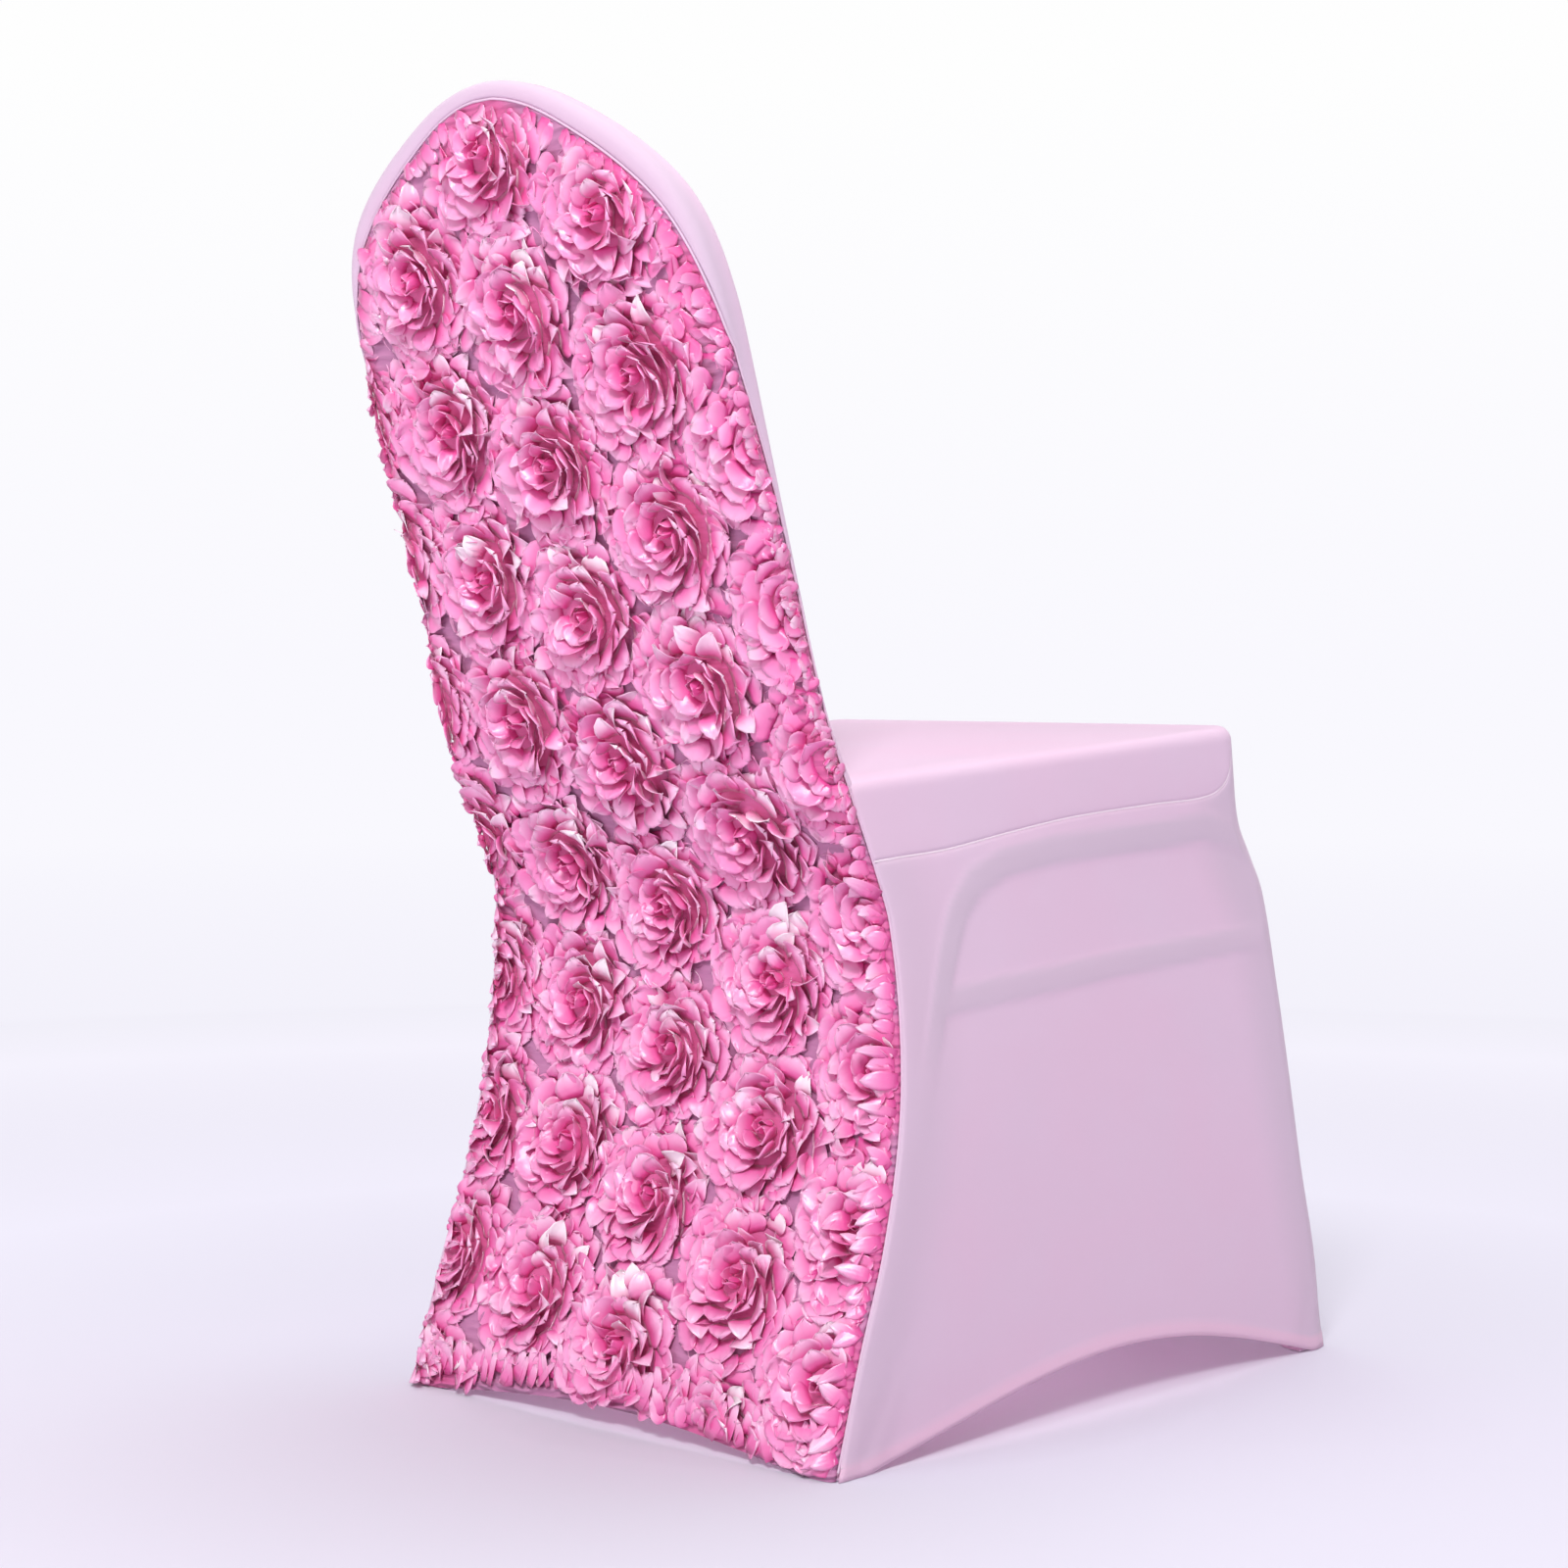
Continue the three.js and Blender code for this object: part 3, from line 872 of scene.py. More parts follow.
@dataclass
class SeatAndInnerBack:
    """The stretch cloth over the seat, up the inner back and round the back's rim."""

    side_steps: int = 96
    crown_steps: int = 110
    rim_steps: int = 16
    face_steps: int = 26
    low: float = 428.0
    drawn_in: float = 2.2
    groove: float = 1.2
    belly: float = 2.5
    cloth: float = 0.0011
    form: CoverForm = FORM

    def loop(self) -> Array:
        """The sleeve's outline up one side, over the crown and down the other.

        Returns:
            For each point x, z, the outward way's x and z, and the border's width.
        """
        up = np.linspace(self.low, self.form.shoulder, self.side_steps)[:-1]
        half = SECTIONS.at("half", up) - self.drawn_in * (1 - ramp(up, 440, 474))
        side = np.stack([half, up, np.ones_like(half), 0 * half, 0 * half], axis=1)
        other = (side * [-1, 1, -1, 1, 1])[::-1]
        return np.concatenate([side, self.form.outline(self.crown_steps), other])

    def rim(self) -> tuple[Array, Array]:
        """The sleeve from its seam round the edge, and how hard the back's rim presses it."""
        form, r = self.form, self.form.edge
        x, z, nx, nz, border = self.loop().T
        by_wrap = form.round_edge(SECTIONS.at("wrap", z))
        on_edge = r * np.arcsin(np.clip(1 - border / r, -1, 1))
        by_border = np.where(border > r, r - border, on_edge)
        start = np.where(z > form.shoulder - 1, np.minimum(by_wrap, by_border), by_wrap)
        wall = form.thickness - 2 * r
        end = r * math.pi + wall
        share = np.linspace(0, 1, self.rim_steps)[:, None]
        q = start + (end - start) * share
        turn = np.clip(q / r, 0, math.pi / 2)
        turn_in = np.clip((q - r * math.pi / 2 - wall) / r, 0, math.pi / 2)
        on_rear = np.minimum(q, 0)
        on_side = np.clip(q - r * math.pi / 2, 0, wall)
        drawn = r - on_rear - r * np.sin(turn) + r * (1 - np.cos(turn_in))
        drop = r * (1 - np.cos(turn)) + on_side + r * np.sin(turn_in)
        groove = self.groove * np.exp(-(((q - start) / 2.0) ** 2))
        drawn = drawn + groove * np.sin(turn)
        drop = drop + groove * np.cos(turn)
        rim_x, rim_z = x - nx * drawn, z - nz * drawn
        press = np.exp(-(((q - r * 1.2) / 9.0) ** 2)) * ramp(z, 470, 560)
        return np.stack([rim_x, form.rear(rim_z) - drop, rim_z], axis=-1), press

    def face(self, edge: Array) -> Array:
        """The inner back, from the rim's last line to the middle."""
        share = np.linspace(1, 0, self.face_steps + 1)[1:, None]
        anchor = np.minimum(edge[:, 2], self.form.fan_centre)
        z = anchor + (edge[:, 2] - anchor) * share
        belly = self.belly * (1 - share**2) * ramp(z, 470, 560)
        y = self.form.rear(z) - self.form.thickness - belly
        return np.stack([edge[:, 0] * share, y, z], axis=-1)

    def build(self, material: Any) -> Any:
        """Makes the panel from the sleeve's grid and the seat's."""
        rim, press = self.rim()
        sleeve = np.concatenate([rim, self.face(rim[-1])])
        seat, seat_faces = Walls(form=self.form).seat()
        rows, columns = sleeve.shape[:2]
        faces = np.concatenate([grid_faces(rows, columns), seat_faces + rows * columns])
        points = np.concatenate([sleeve.reshape(-1, 3), seat])
        unpressed = np.zeros(len(points) - press.size)
        piece = make_piece(
            "seat_and_inner_back_cloth",
            self.form.to_row(points),
            faces.tolist(),
            {"press": np.concatenate([press.ravel(), unpressed])},
        )
        merge_doubles(piece)
        thicken(piece, self.cloth)
        return dress(piece, material, ["seat_and_inner_back"])


def merge_doubles(piece: Any) -> None:
    """Welds points that lie together, and drops faces that this leaves flat."""
    made = bmesh.new()
    made.from_mesh(piece.data)
    bmesh.ops.remove_doubles(made, verts=made.verts, dist=2e-5)
    bmesh.ops.dissolve_degenerate(made, dist=1e-6, edges=made.edges)
    made.to_mesh(piece.data)
    made.free()


# The walls that a column of points can be on
SIDE, CORNER, FRONT = 0, 1, 2


@dataclass
class Walls:
    """The upright walls from the rear seam round the front, and the seat's top."""

    side_columns: int = 128
    corner_columns: int = 14
    front_columns: int = 90
    seat_rows: int = 20
    seat_rings: int = 34
    widest: float = 482.0
    seam_rise: float = 8.8
    groove: float = 0.7
    form: CoverForm = FORM

    def columns(self) -> tuple[Array, Array]:
        """Which wall each column of a half is on, and its share of the way along that."""
        side = np.linspace(0, 1, self.side_columns)
        corner = np.linspace(0, 1, self.corner_columns + 1)[1:]
        front = np.linspace(0, 1, self.front_columns // 2 + 1)[1:]
        kind = np.repeat([SIDE, CORNER, FRONT], [side.size, corner.size, front.size])
        return kind, np.concatenate([side, corner, front])

    def half_walls(self, up: Array) -> Array:
        """Points of one half of the wall, at one height for each row and column."""
        form = self.form
        kind, share = self.columns()
        rear = form.rear(up) - SECTIONS.at("wrap", up)
        front = SECTIONS.at("front", up)
        turn = np.where(kind == CORNER, share, kind == FRONT) * math.pi / 2
        corner_y = front + form.corner
        on_side = rear + (corner_y - rear) * share
        y = np.where(kind == SIDE, on_side, corner_y - form.corner * np.sin(turn))
        depth = np.where(kind == FRONT, 1.0, (rear - y) / (rear - front))
        rising = np.clip(up / form.bow_top, 0, 1)
        bow = form.bow * np.where(up < form.bow_top, np.sin(math.pi * rising), 0)
        ridge = 1.5 * ramp(rear - y, 10, 60)
        half = SECTIONS.at("half", up) - ridge
        wide = half + (SECTIONS.at("front_half", up) - half) * depth
        wide = wide - bow * np.sin(math.pi * depth)
        x = wide - form.corner * (1 - np.cos(turn))
        x = np.where(kind == FRONT, x * (1 - share), x)
        return np.stack([x, y, up * np.ones_like(x)], axis=-1)

    def full(self, half: Array) -> Array:
        """Mirrors half a wall to make the whole."""
        return np.concatenate([half, (half[:, :-1] * [-1, 1, 1])[:, ::-1]], axis=1)

    def both(self, half: Array) -> Array:
        """Numbers of a half's columns, repeated for the mirrored half."""
        return np.concatenate([half, half[..., -2::-1]], axis=-1)

    def tops(self) -> tuple[Array, Array]:
        """For each column of a half: where its upright part ends, and where its seam lies."""
        kind, _ = self.columns()
        at = self.half_walls(np.full((1, kind.size), self.widest))[0]
        top = self.form.seat_edge(at[:, 1]) - self.form.edge
        seam = SEAT_SEAM.at("up", at[:, 1] + 0.5)
        seam = np.minimum(seam, top + self.seam_rise)
        return top, np.where(kind == FRONT, top + self.seam_rise, seam)

    def profile(self, height: Array) -> Array:
        """Points at heights measured up the wall and on over the seat's rounded edge."""
        top, _ = self.tops()
        up = np.minimum(height, top)
        wall = self.half_walls(up)
        bend = np.clip((height - top) / self.form.edge, 0, math.pi / 2)
        along = np.gradient(wall, axis=1)
        out = np.stack([-along[..., 1], along[..., 0], 0 * up], axis=-1)
        out /= np.maximum(np.linalg.norm(out, axis=-1, keepdims=True), 1e-9)
        out *= np.sign(np.sum(out * [1, -0.4, 0], axis=-1, keepdims=True) + 1e-9)
        drawn = self.form.edge * (1 - np.cos(bend))
        wall = wall - out * drawn[..., None]
        wall[..., 2] += self.form.edge * np.sin(bend)
        return wall

    def seat(self) -> tuple[Array, Array]:
        """The seat's sides and its top, as points and faces."""
        top, seam = self.tops()
        share = np.linspace(0, 1, self.seat_rows)[:, None]
        end = top + self.form.edge * math.pi / 2
        half = self.profile(seam + (end - seam) * share)
        groove = self.groove * np.exp(-((share * (end - seam) / 2.0) ** 2))
        kind, _ = self.columns()
        half[..., 0] -= groove * (kind != FRONT)
        half[..., 2] -= groove * (kind == FRONT)
        side = self.full(half)
        left, right = side[-1, 0], side[-1, -1]
        rear = np.linspace(right, left, 40)[1:-1]
        edge = np.concatenate([side[-1], rear])
        middle = np.array([0, self.form.seat_front / 2, 0])
        wide, deep = np.abs(edge - middle).max(axis=0)[:2]
        rings = []
        for share_in in np.linspace(1, 0, self.seat_rings)[1:]:
            ring = middle + (edge - middle) * share_in
            from_middle = np.abs(ring - middle)
            crown = (1 - (from_middle[:, 0] / wide) ** 2) * (1 - (from_middle[:, 1] / deep) ** 2)
            ring[:, 2] = self.form.seat_edge(ring[:, 1]) + self.form.seat_crown * crown
            rings.append(ring)
        wall_faces = grid_faces(*side.shape[:2])
        cap = np.concatenate([edge[None], np.array(rings)])
        cap_faces = grid_faces(*cap.shape[:2], closed=True) + side.size // 3
        points = np.concatenate([side.reshape(-1, 3), cap.reshape(-1, 3)])
        return points, np.concatenate([wall_faces, cap_faces])


# The soft ridges on the sides, as (y, z)
RIDGE_ARCH = np.array(
    [(-84, 198), (-99, 254), (-116, 305), (-131, 345), (-144, 374), (-164, 394), (-195, 406)]
    + [(-248, 413), (-318, 417), (-380, 420), (-428, 424), (-470, 414), (-512, 392)],
    float,
)
RIDGE_BRACE = np.array(
    [(-127, 312), (-182, 316), (-248, 320), (-329, 326), (-414, 331), (-520, 337)], float
)


def line_distance(points: Array, line: Array) -> tuple[Array, Array]:
    """Distance from flat points to a line of segments, and the share along it."""
    best = np.full(points.shape[:-1], 1e9)
    where = np.zeros(points.shape[:-1])
    for i, (a, b) in enumerate(zip(line[:-1], line[1:])):
        along = b - a
        t = np.clip(((points - a) @ along) / (along @ along), 0, 1)
        gap = np.linalg.norm(points - a - t[..., None] * along, axis=-1)
        closer = gap < best
        best = np.where(closer, gap, best)
        where = np.where(closer, (i + t) / (len(line) - 1), where)
    return best, where


@dataclass
class Skirt:
    """The stretch cloth round the sides and the front, pulled tight, with two soft ridges."""

    levels: int = 104
    ridge: float = 1.3
    hem: float = 11.0
    fold: float = 0.7
    seam_tuck: float = 0.7
    rear_tuck: float = 1.1
    ripple: float = 0.5
    cloth: float = 0.0011
    form: CoverForm = FORM
    walls: Walls = field(default_factory=Walls)

    def hem_heights(self) -> Array:
        """The hem's height at each column of a half."""
        kind, _ = self.walls.columns()
        foot = self.walls.half_walls(np.zeros((1, kind.size)))[0]
        reach = SECTIONS.at("front", 0) + self.form.foot
        side = self.form.side_hem((foot[:, 1] + self.form.foot) / (reach + self.form.foot))
        wide = SECTIONS.at("front_half", 0) - self.form.foot
        front = np.cos(np.clip(foot[:, 0] / wide, -1, 1) * math.pi / 2) * self.form.front_rise
        return np.where(kind == SIDE, side, np.where(kind == FRONT, front, 0.0))

    def pressed(self, grid: Array, kind: Array) -> Array:
        """How hard the two soft ridges press each point of the sides out."""
        flat = np.stack([grid[..., 1], grid[..., 2]], axis=-1)
        arch, where = line_distance(flat, RIDGE_ARCH)
        brace, _ = line_distance(flat, RIDGE_BRACE)
        on_side = ramp(np.abs(grid[..., 0]), 180, 196) * (kind == SIDE)
        wide = 10.5 - 2.5 * ramp(where, 0.3, 0.0)
        arch_press = (1 - ramp(arch, wide - 3.5, wide + 3.5)) * ramp(where, 0.0, 0.22)
        brace_press = (1 - ramp(brace, 6.5, 12.0)) * 0.8
        return np.maximum(arch_press, brace_press) * on_side

    def tightness(self, grid: Array, kind: Array, press: Array) -> Array:
        """How tight the cloth is: over the ridges, by the rear seams and at the corners."""
        from_rear = grid[:, :1, 1] - grid[..., 1]
        to_front = grid[..., 1] - grid[..., 1].min(axis=1, keepdims=True)
        by_seam = 0.45 * (1 - ramp(from_rear, 12, 80))
        by_corner = 0.85 * (1 - ramp(to_front, 12, 70)) * (kind != FRONT)
        return np.maximum(press, np.maximum(by_seam, by_corner))

    def surface(self) -> tuple[Array, Array, Array]:
        """The grid of points, how tight it is stretched, and where the turned hem is."""
        walls = self.walls
        _, seam = walls.tops()
        hem = self.hem_heights()
        height = hem + (seam - hem) * np.linspace(0, 1, self.levels)[:, None]
        grid = walls.full(walls.profile(height))
        kind = walls.both(walls.columns()[0])
        press = self.pressed(grid, kind)
        tight = self.tightness(grid, kind, press)
        normal = normals_of(grid)
        normal *= np.sign(np.sum(normal * [1, 1, 0] * np.sign(grid), -1, keepdims=True) + 1e-9)
        from_hem, to_seam = walls.both(height - hem), walls.both(seam - height)
        turned_hem = 1 - ramp(from_hem, self.hem - 1, self.hem + 2)
        fold = self.fold * (1 - ramp(from_hem, self.hem - 1, self.hem + 1))
        column = np.arange(grid.shape[1])[None, :]
        from_rear = np.minimum(column, grid.shape[1] - 1 - column)
        tuck = self.seam_tuck * np.exp(-((to_seam / 2.0) ** 2))
        tuck = tuck + self.rear_tuck * np.exp(-(from_rear**2.0))
        near_foot = np.exp(-((walls.both(hem) / 6.0) ** 2)) * np.exp(-from_hem / 60)
        ripple = self.ripple * np.sin(column * 0.9 + from_hem / 14) * near_foot
        grid = grid + normal * (self.ridge * press + fold - tuck + ripple)[..., None]
        return grid, tight, turned_hem

    def build(self, material: Any) -> Any:
        """Makes the panel."""
        grid, tight, hem = self.surface()
        piece = grid_piece("skirt_cloth", grid, {"press": tight, "hem": hem})
        thicken(piece, self.cloth)
        return dress(piece, material, ["skirt"])


@dataclass
class FootPatches:
    """The small patches that close the skirt's corners at the floor."""

    corners: tuple[str, ...] = ("rear_left", "rear_right", "front_left", "front_right")
    soft_edge: float = 0.0006

    def build(self, material: Any) -> list[Any]:
        """Dresses each patch in place of its solid."""
        made = []
        for corner in self.corners:
            node = f"foot_patch_{corner}"
            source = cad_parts[node]
            piece = bpy.data.objects.new(f"foot_pocket_{corner}", source.data.copy())
            bpy.context.scene.collection.objects.link(piece)
            merge_doubles(piece)
            bevel = piece.modifiers.new("edge", "BEVEL")
            bevel.width = self.soft_edge
            bevel.segments = 2
            plain(piece)
            made.append(dress(piece, material, [node]))
        return made


# Rosettes


class PetalKind(Enum):
    """The ways in which a petal curls."""

    BUD = 0
    CUP = 1
    WAVY_CUP = 2
    OPEN = 3
    WAVY_OPEN = 4
    TURNED = 5
    FOLDED = 6
    PINCHED = 7


# Faces across a petal and along it, and its thickness in millimetres
PETAL_ACROSS, PETAL_ALONG, PETAL_THICKNESS = 7, 5, 0.22


@dataclass(frozen=True)
class PetalShape:
    """Sizes of one kind of petal, in millimetres and degrees."""

    kind: PetalKind
    length: float
    half_width: float
    lean: float
    curl: float
    cup: float
    ruffle: float
    phase: float
    round_tip: float = 2.2
    twist: float = 0.0

    def front(self) -> tuple[Array, Array]:
        """The petal's front: its root along X, its lean towards Y.

        Returns:
            The grid of points, and each row's share of the way to the lip.
        """
        u = np.linspace(-1, 1, PETAL_ACROSS + 1)[None, :]
        v = (np.linspace(0, 1, PETAL_ALONG + 1) ** 0.8)[:, None]
        lean = np.radians(self.lean + self.curl * v**2.2)
        step = np.diff(v, axis=0) * self.length
        mid = (lean[1:] + lean[:-1]) / 2
        out = np.concatenate([[[0.0]], np.cumsum(step * np.sin(mid), axis=0)])
        up = np.concatenate([[[0.0]], np.cumsum(step * np.cos(mid), axis=0)])
        tip = np.clip(1 - (np.maximum(v - 0.3, 0) / 0.705) ** self.round_tip, 0.004, 1) ** 0.6
        widening = 0.62 + 0.38 * np.sin(np.clip(v / 0.5, 0, 1) * math.pi / 2)
        wide = self.half_width * widening * tip
        turn = np.radians(self.twist) * v
        shape = self.cup * u**2 * (0.6 + 0.4 * v) * (wide / self.half_width)
        wave = np.sin(u * 3.4 + self.phase) + 0.6 * np.sin(u * 7.1 + 2.3 * self.phase)
        shape = shape + self.ruffle * wave * v**1.5 + u * wide * np.sin(turn)
        x = u * wide * np.cos(turn)
        y = out - np.cos(lean) * shape
        z = up + np.sin(lean) * shape
        return np.stack([x, y, z], axis=-1), np.broadcast_to(v, x.shape)

    def build(self, holder: Any) -> Any:
        """Makes the petal as a thin closed mesh in the collection holder."""
        front, along = self.front()
        back = front - normals_of(front) * PETAL_THICKNESS
        count = along.size
        quads = grid_faces(*along.shape)
        ring = grid_rim(*along.shape)
        following = np.roll(ring, -1)
        rim = np.stack([following, ring, ring + count, following + count], axis=1)
        piece = make_piece(
            f"petal_{self.kind.value}_{self.kind.name.lower()}",
            np.concatenate([front.reshape(-1, 3), back.reshape(-1, 3)]) * MM,
            np.concatenate([quads, quads[:, ::-1] + count, rim]).tolist(),
            {"along": np.tile(along.ravel(), 2)},
        )
        bpy.context.scene.collection.objects.unlink(piece)
        holder.objects.link(piece)
        return piece


# kind, length, half width, lean, curl, cup, ruffle, phase, round tip, twist
PETALS = (
    PetalShape(PetalKind.BUD, 15, 7.5, -4, 14, 4.4, 0.4, 0.5, 2.6),
    PetalShape(PetalKind.CUP, 16, 14.0, 20, 24, 4.6, 0.9, 0.6, 2.6),
    PetalShape(PetalKind.WAVY_CUP, 17, 13.0, 26, 30, 3.8, 1.5, 2.4, 2.2),
    PetalShape(PetalKind.OPEN, 18, 15.0, 42, 24, 3.0, 1.2, 1.1, 2.4),
    PetalShape(PetalKind.WAVY_OPEN, 19, 14.0, 50, 8, 2.2, 2.0, 3.4, 2.0),
    PetalShape(PetalKind.TURNED, 22, 9.0, 26, 60, 2.4, 1.3, 0.9, 1.6, 42),
    PetalShape(PetalKind.FOLDED, 21, 9.5, 30, 68, 3.6, 1.0, 4.0, 1.6, -36),
    PetalShape(PetalKind.PINCHED, 26, 8.0, 76, 12, 0.9, 2.4, 2.0, 2.0, 16),
)
TURNED_KINDS = (PetalKind.TURNED, PetalKind.FOLDED)


@dataclass(frozen=True)
class Petal:
    """One petal on the cloth: its place, turn, size, kind, paleness with its painted highlight, and
    share in the bud.
    """

    point: Array
    turn: Matrix
    size: tuple[float, float, float]
    kind: PetalKind
    shade: float
    bud: float = 0.0


@dataclass(frozen=True)
class Spot:
    """A place on a rosette's spiral: round it, its share of the way out, across and up."""

    radius: float
    angle: float
    share: float
    around: float
    up: float


@dataclass(frozen=True)
class RosetteRow:
    """One upright row of rosettes: its place across and its lowest centre."""

    across: float
    first: float

    @property
    def by_seam(self) -> bool:
        """Whether the row lies along a side seam."""
        return abs(self.across) > 150


def facing(out: Vector, normal: Vector) -> Matrix:
    """The turn of a petal that stands on the cloth with its front towards out."""
    return Matrix((out.cross(normal).normalized(), out, normal)).transposed()


@dataclass
class Rosettes:
    """Spiral rosettes of satin petals in five upright rows."""

    rows: tuple[RosetteRow, ...] = (
        RosetteRow(-197, 57),
        RosetteRow(-96, 9),
        RosetteRow(7, 58),
        RosetteRow(104, 86),
        RosetteRow(203, -1),
    )
    pitch: float = 105.0
    highest: float = 905.0
    past_shoulder: float = 49.0
    turns: float = 6.1
    first_radius: float = 1.4
    last_radius: float = 51.0
    spacing: float = 14.5
    petal_length: float = 17.0
    petal_half_width: float = 12.0
    # The angle round a rosette at which petals face the light and may get the painted highlight.
    light_from: float = 2.2
    hem_reach: float = 214.0
    seed: int = 7
    form: CoverForm = FORM

    def centres(self, row: RosetteRow) -> list[float]:
        """Heights of a row's rosettes."""
        top = self.form.shoulder + self.past_shoulder if row.by_seam else self.highest
        count = int((min(top - 1e-6, self.highest) - row.first) // self.pitch) + 1
        return [row.first + self.pitch * i for i in range(count)]

    def spiral(self, chance: np.random.Generator) -> list[tuple[float, float]]:
        """Radius and angle of each petal of one rosette, from its bud outwards."""
        angle = chance.uniform(0, 2 * math.pi)
        start = angle
        total = self.turns * 2 * math.pi
        found = []
        while angle - start < total:
            share = (angle - start) / total
            radius = self.first_radius + (self.last_radius - self.first_radius) * share**1.12
            found.append((radius, angle))
            angle += min(self.spacing * (0.45 + 0.55 * min(radius / 26, 1)) / radius, 1.7)
        return found

    def way_in(self, around: float, up: float) -> tuple[float, Array]:
        """A point's distance from the nearest seam, and the way in from that seam."""
        near = np.array([[0, 0], [1, 0], [-1, 0], [0, 1], [0, -1]], float) + [around, up]
        gap = self.form.seam_gap(near[:, 0], near[:, 1])
        way = np.array([gap[1] - gap[2], gap[3] - gap[4]])
        return float(gap[0]), way / max(float(np.linalg.norm(way)), 1e-6)

    def footing(
        self, around: float, up: float, lift: float
    ) -> tuple[Array, Vector, Vector, Vector]:
        """A point of the cloth, its normal, and the ways across and up there."""
        point, normal = self.form.rear_point(np.array(around), np.array(up), lift)
        n = Vector(normal)
        upwards = (Vector((0, 0, 1)) - n * n.z).normalized()
        return point, n, n.cross(upwards), upwards

    def petals_of(self, centre: tuple[float, float], chance: np.random.Generator) -> list[Petal]:
        """The petals of one rosette.

        Args:
            centre: its place across and up.
            chance: the row's own source of unevenness.

        Returns:
            Its petals, from the bud outwards.
        """
        swirl = math.radians(chance.uniform(8, 20))
        squeeze = chance.uniform(0.94, 1.06)
        slope, sway = chance.uniform(0, 6.28), chance.uniform(2, 5)
        found = []
        for radius, angle in self.spiral(chance):
            share = (radius - self.first_radius) / (self.last_radius - self.first_radius)
            wobble = 0.06 * math.sin(sway * angle + slope) + chance.uniform(-0.03, 0.03)
            reach = radius * (1 + share * wobble)
            around = centre[0] + reach * squeeze * math.cos(angle)
            up = centre[1] + reach / squeeze * math.sin(angle)
            found.append(self.petal_at(Spot(radius, angle, share, around, up), swirl, chance))
        return [petal for petal in found if petal is not None]

    def leaning(
        self, angle: float, inward: Array, pinch: float, room: float, size: float
    ) -> tuple[Array, float]:
        """Turns a petal away from a seam.

        Args:
            angle: the way it would lean in the open.
            inward: the way in from the seam.
            pinch: how much the seam holds it.
            room: its root's distance from the seam.
            size: its size.

        Returns:
            The way it leans, and how far it would still reach over the seam.
        """
        way = np.array([math.cos(angle), math.sin(angle)])
        outward = -float(way @ inward)
        if outward > 0:
            way = way + inward * 1.5 * outward * pinch
            way = way / np.linalg.norm(way)
        beside = abs(way[0] * inward[1] - way[1] * inward[0])
        reach = max(-self.petal_length * float(way @ inward), self.petal_half_width * beside)
        return way, max(reach * size - room + 3, 0)

    def petal_at(self, spot: Spot, swirl: float, chance: np.random.Generator) -> Petal | None:
        """One petal of a rosette.

        Args:
            spot: its place on the spiral.
            swirl: how far the rosette's petals turn along the spiral, in radians.
            chance: the row's own source of unevenness.

        Returns:
            The petal, or None where a seam, the hem or the floor leaves no room.
        """
        share = spot.share
        to_seam, inward = self.way_in(spot.around, spot.up)
        to_hem = spot.up - float(self.form.rear_hem(np.array(spot.around)))
        gap = min(to_seam, to_hem)
        if gap < 4:
            return None
        near = 1 - float(ramp(np.array(gap), 3, 22))
        size = (0.66 + 0.36 * min(spot.radius / 20, 1)) * chance.uniform(0.84, 1.14)
        pinch = 1 - float(ramp(np.array(to_seam), 5, 32))
        way, over_seam = self.leaning(spot.angle, inward, pinch, to_seam, size)
        moved = 0.6 * over_seam
        point, n, sideways, upwards = self.footing(
            spot.around + inward[0] * moved, spot.up + inward[1] * moved, 1.4 * share - 0.2
        )
        out = (sideways * way[0] + upwards * way[1]).normalized()
        kind = self.kind_at(share, chance)
        if pinch > 0.2 and kind in TURNED_KINDS:
            kind = PetalKind.OPEN
        twist = swirl + math.radians(chance.normal(0, 9))
        droop = 9 * max(math.sin(spot.angle), 0) * share
        lean = min(-9 + 34 * share**0.8 + droop + chance.normal(0, 7), 62) + 16 * pinch
        roll = chance.normal(0, 7)
        if kind in TURNED_KINDS:
            twist += math.radians(chance.choice([-1, 1]) * chance.uniform(15, 50))
            roll += chance.normal(0, 16)
        over_hem = -out.dot(upwards) * self.petal_length * size - to_hem
        past = max(moved, over_hem, 0) / self.petal_length
        size *= (1 - 0.5 * min(past, 1) - 0.2 * near) * (1 - 0.12 * pinch)
        turn = (
            facing(out, n)
            @ Matrix.Rotation(twist, 3, "Z")
            @ Matrix.Rotation(-math.radians(lean), 3, "X")
            @ Matrix.Rotation(math.radians(roll), 3, "Y")
        )
        length = size * (1.14 - 0.14 * share) * chance.uniform(0.9, 1.1)
        height = length * (1 - 0.38 * share) * (1 - 0.6 * pinch)
        tip = turn @ Vector((0, 0, 20 * height))
        if point[2] + min(tip.z, 0) - 9 * size * abs(turn.col[0].z) < 1:
            return None
        shade = self.paleness(spot, kind, chance)
        bud = max(0.0, 1 - spot.radius / 14)
        return Petal(point, turn, (size, length, height), kind, shade, bud)

    def paleness(self, spot: Spot, kind: PetalKind, chance: np.random.Generator) -> float:
        """How pale a petal is, partly at random, with painted highlight on turned petals and a
        near-white painted highlight on some that face the light.
        """
        facing_light = max(math.cos(spot.angle - self.light_from), 0) ** 2
        lit = facing_light * (0.15 < spot.share < 0.85)
        # Random paleness, with painted highlight added on turned petals.
        shade = chance.uniform(0.0, 0.8) + 0.8 * (kind in TURNED_KINDS)
        # Some petals that face the light get a near-white painted highlight.
        return float(shade + lit * chance.choice([0.3, 1.7], p=[0.62, 0.38]))

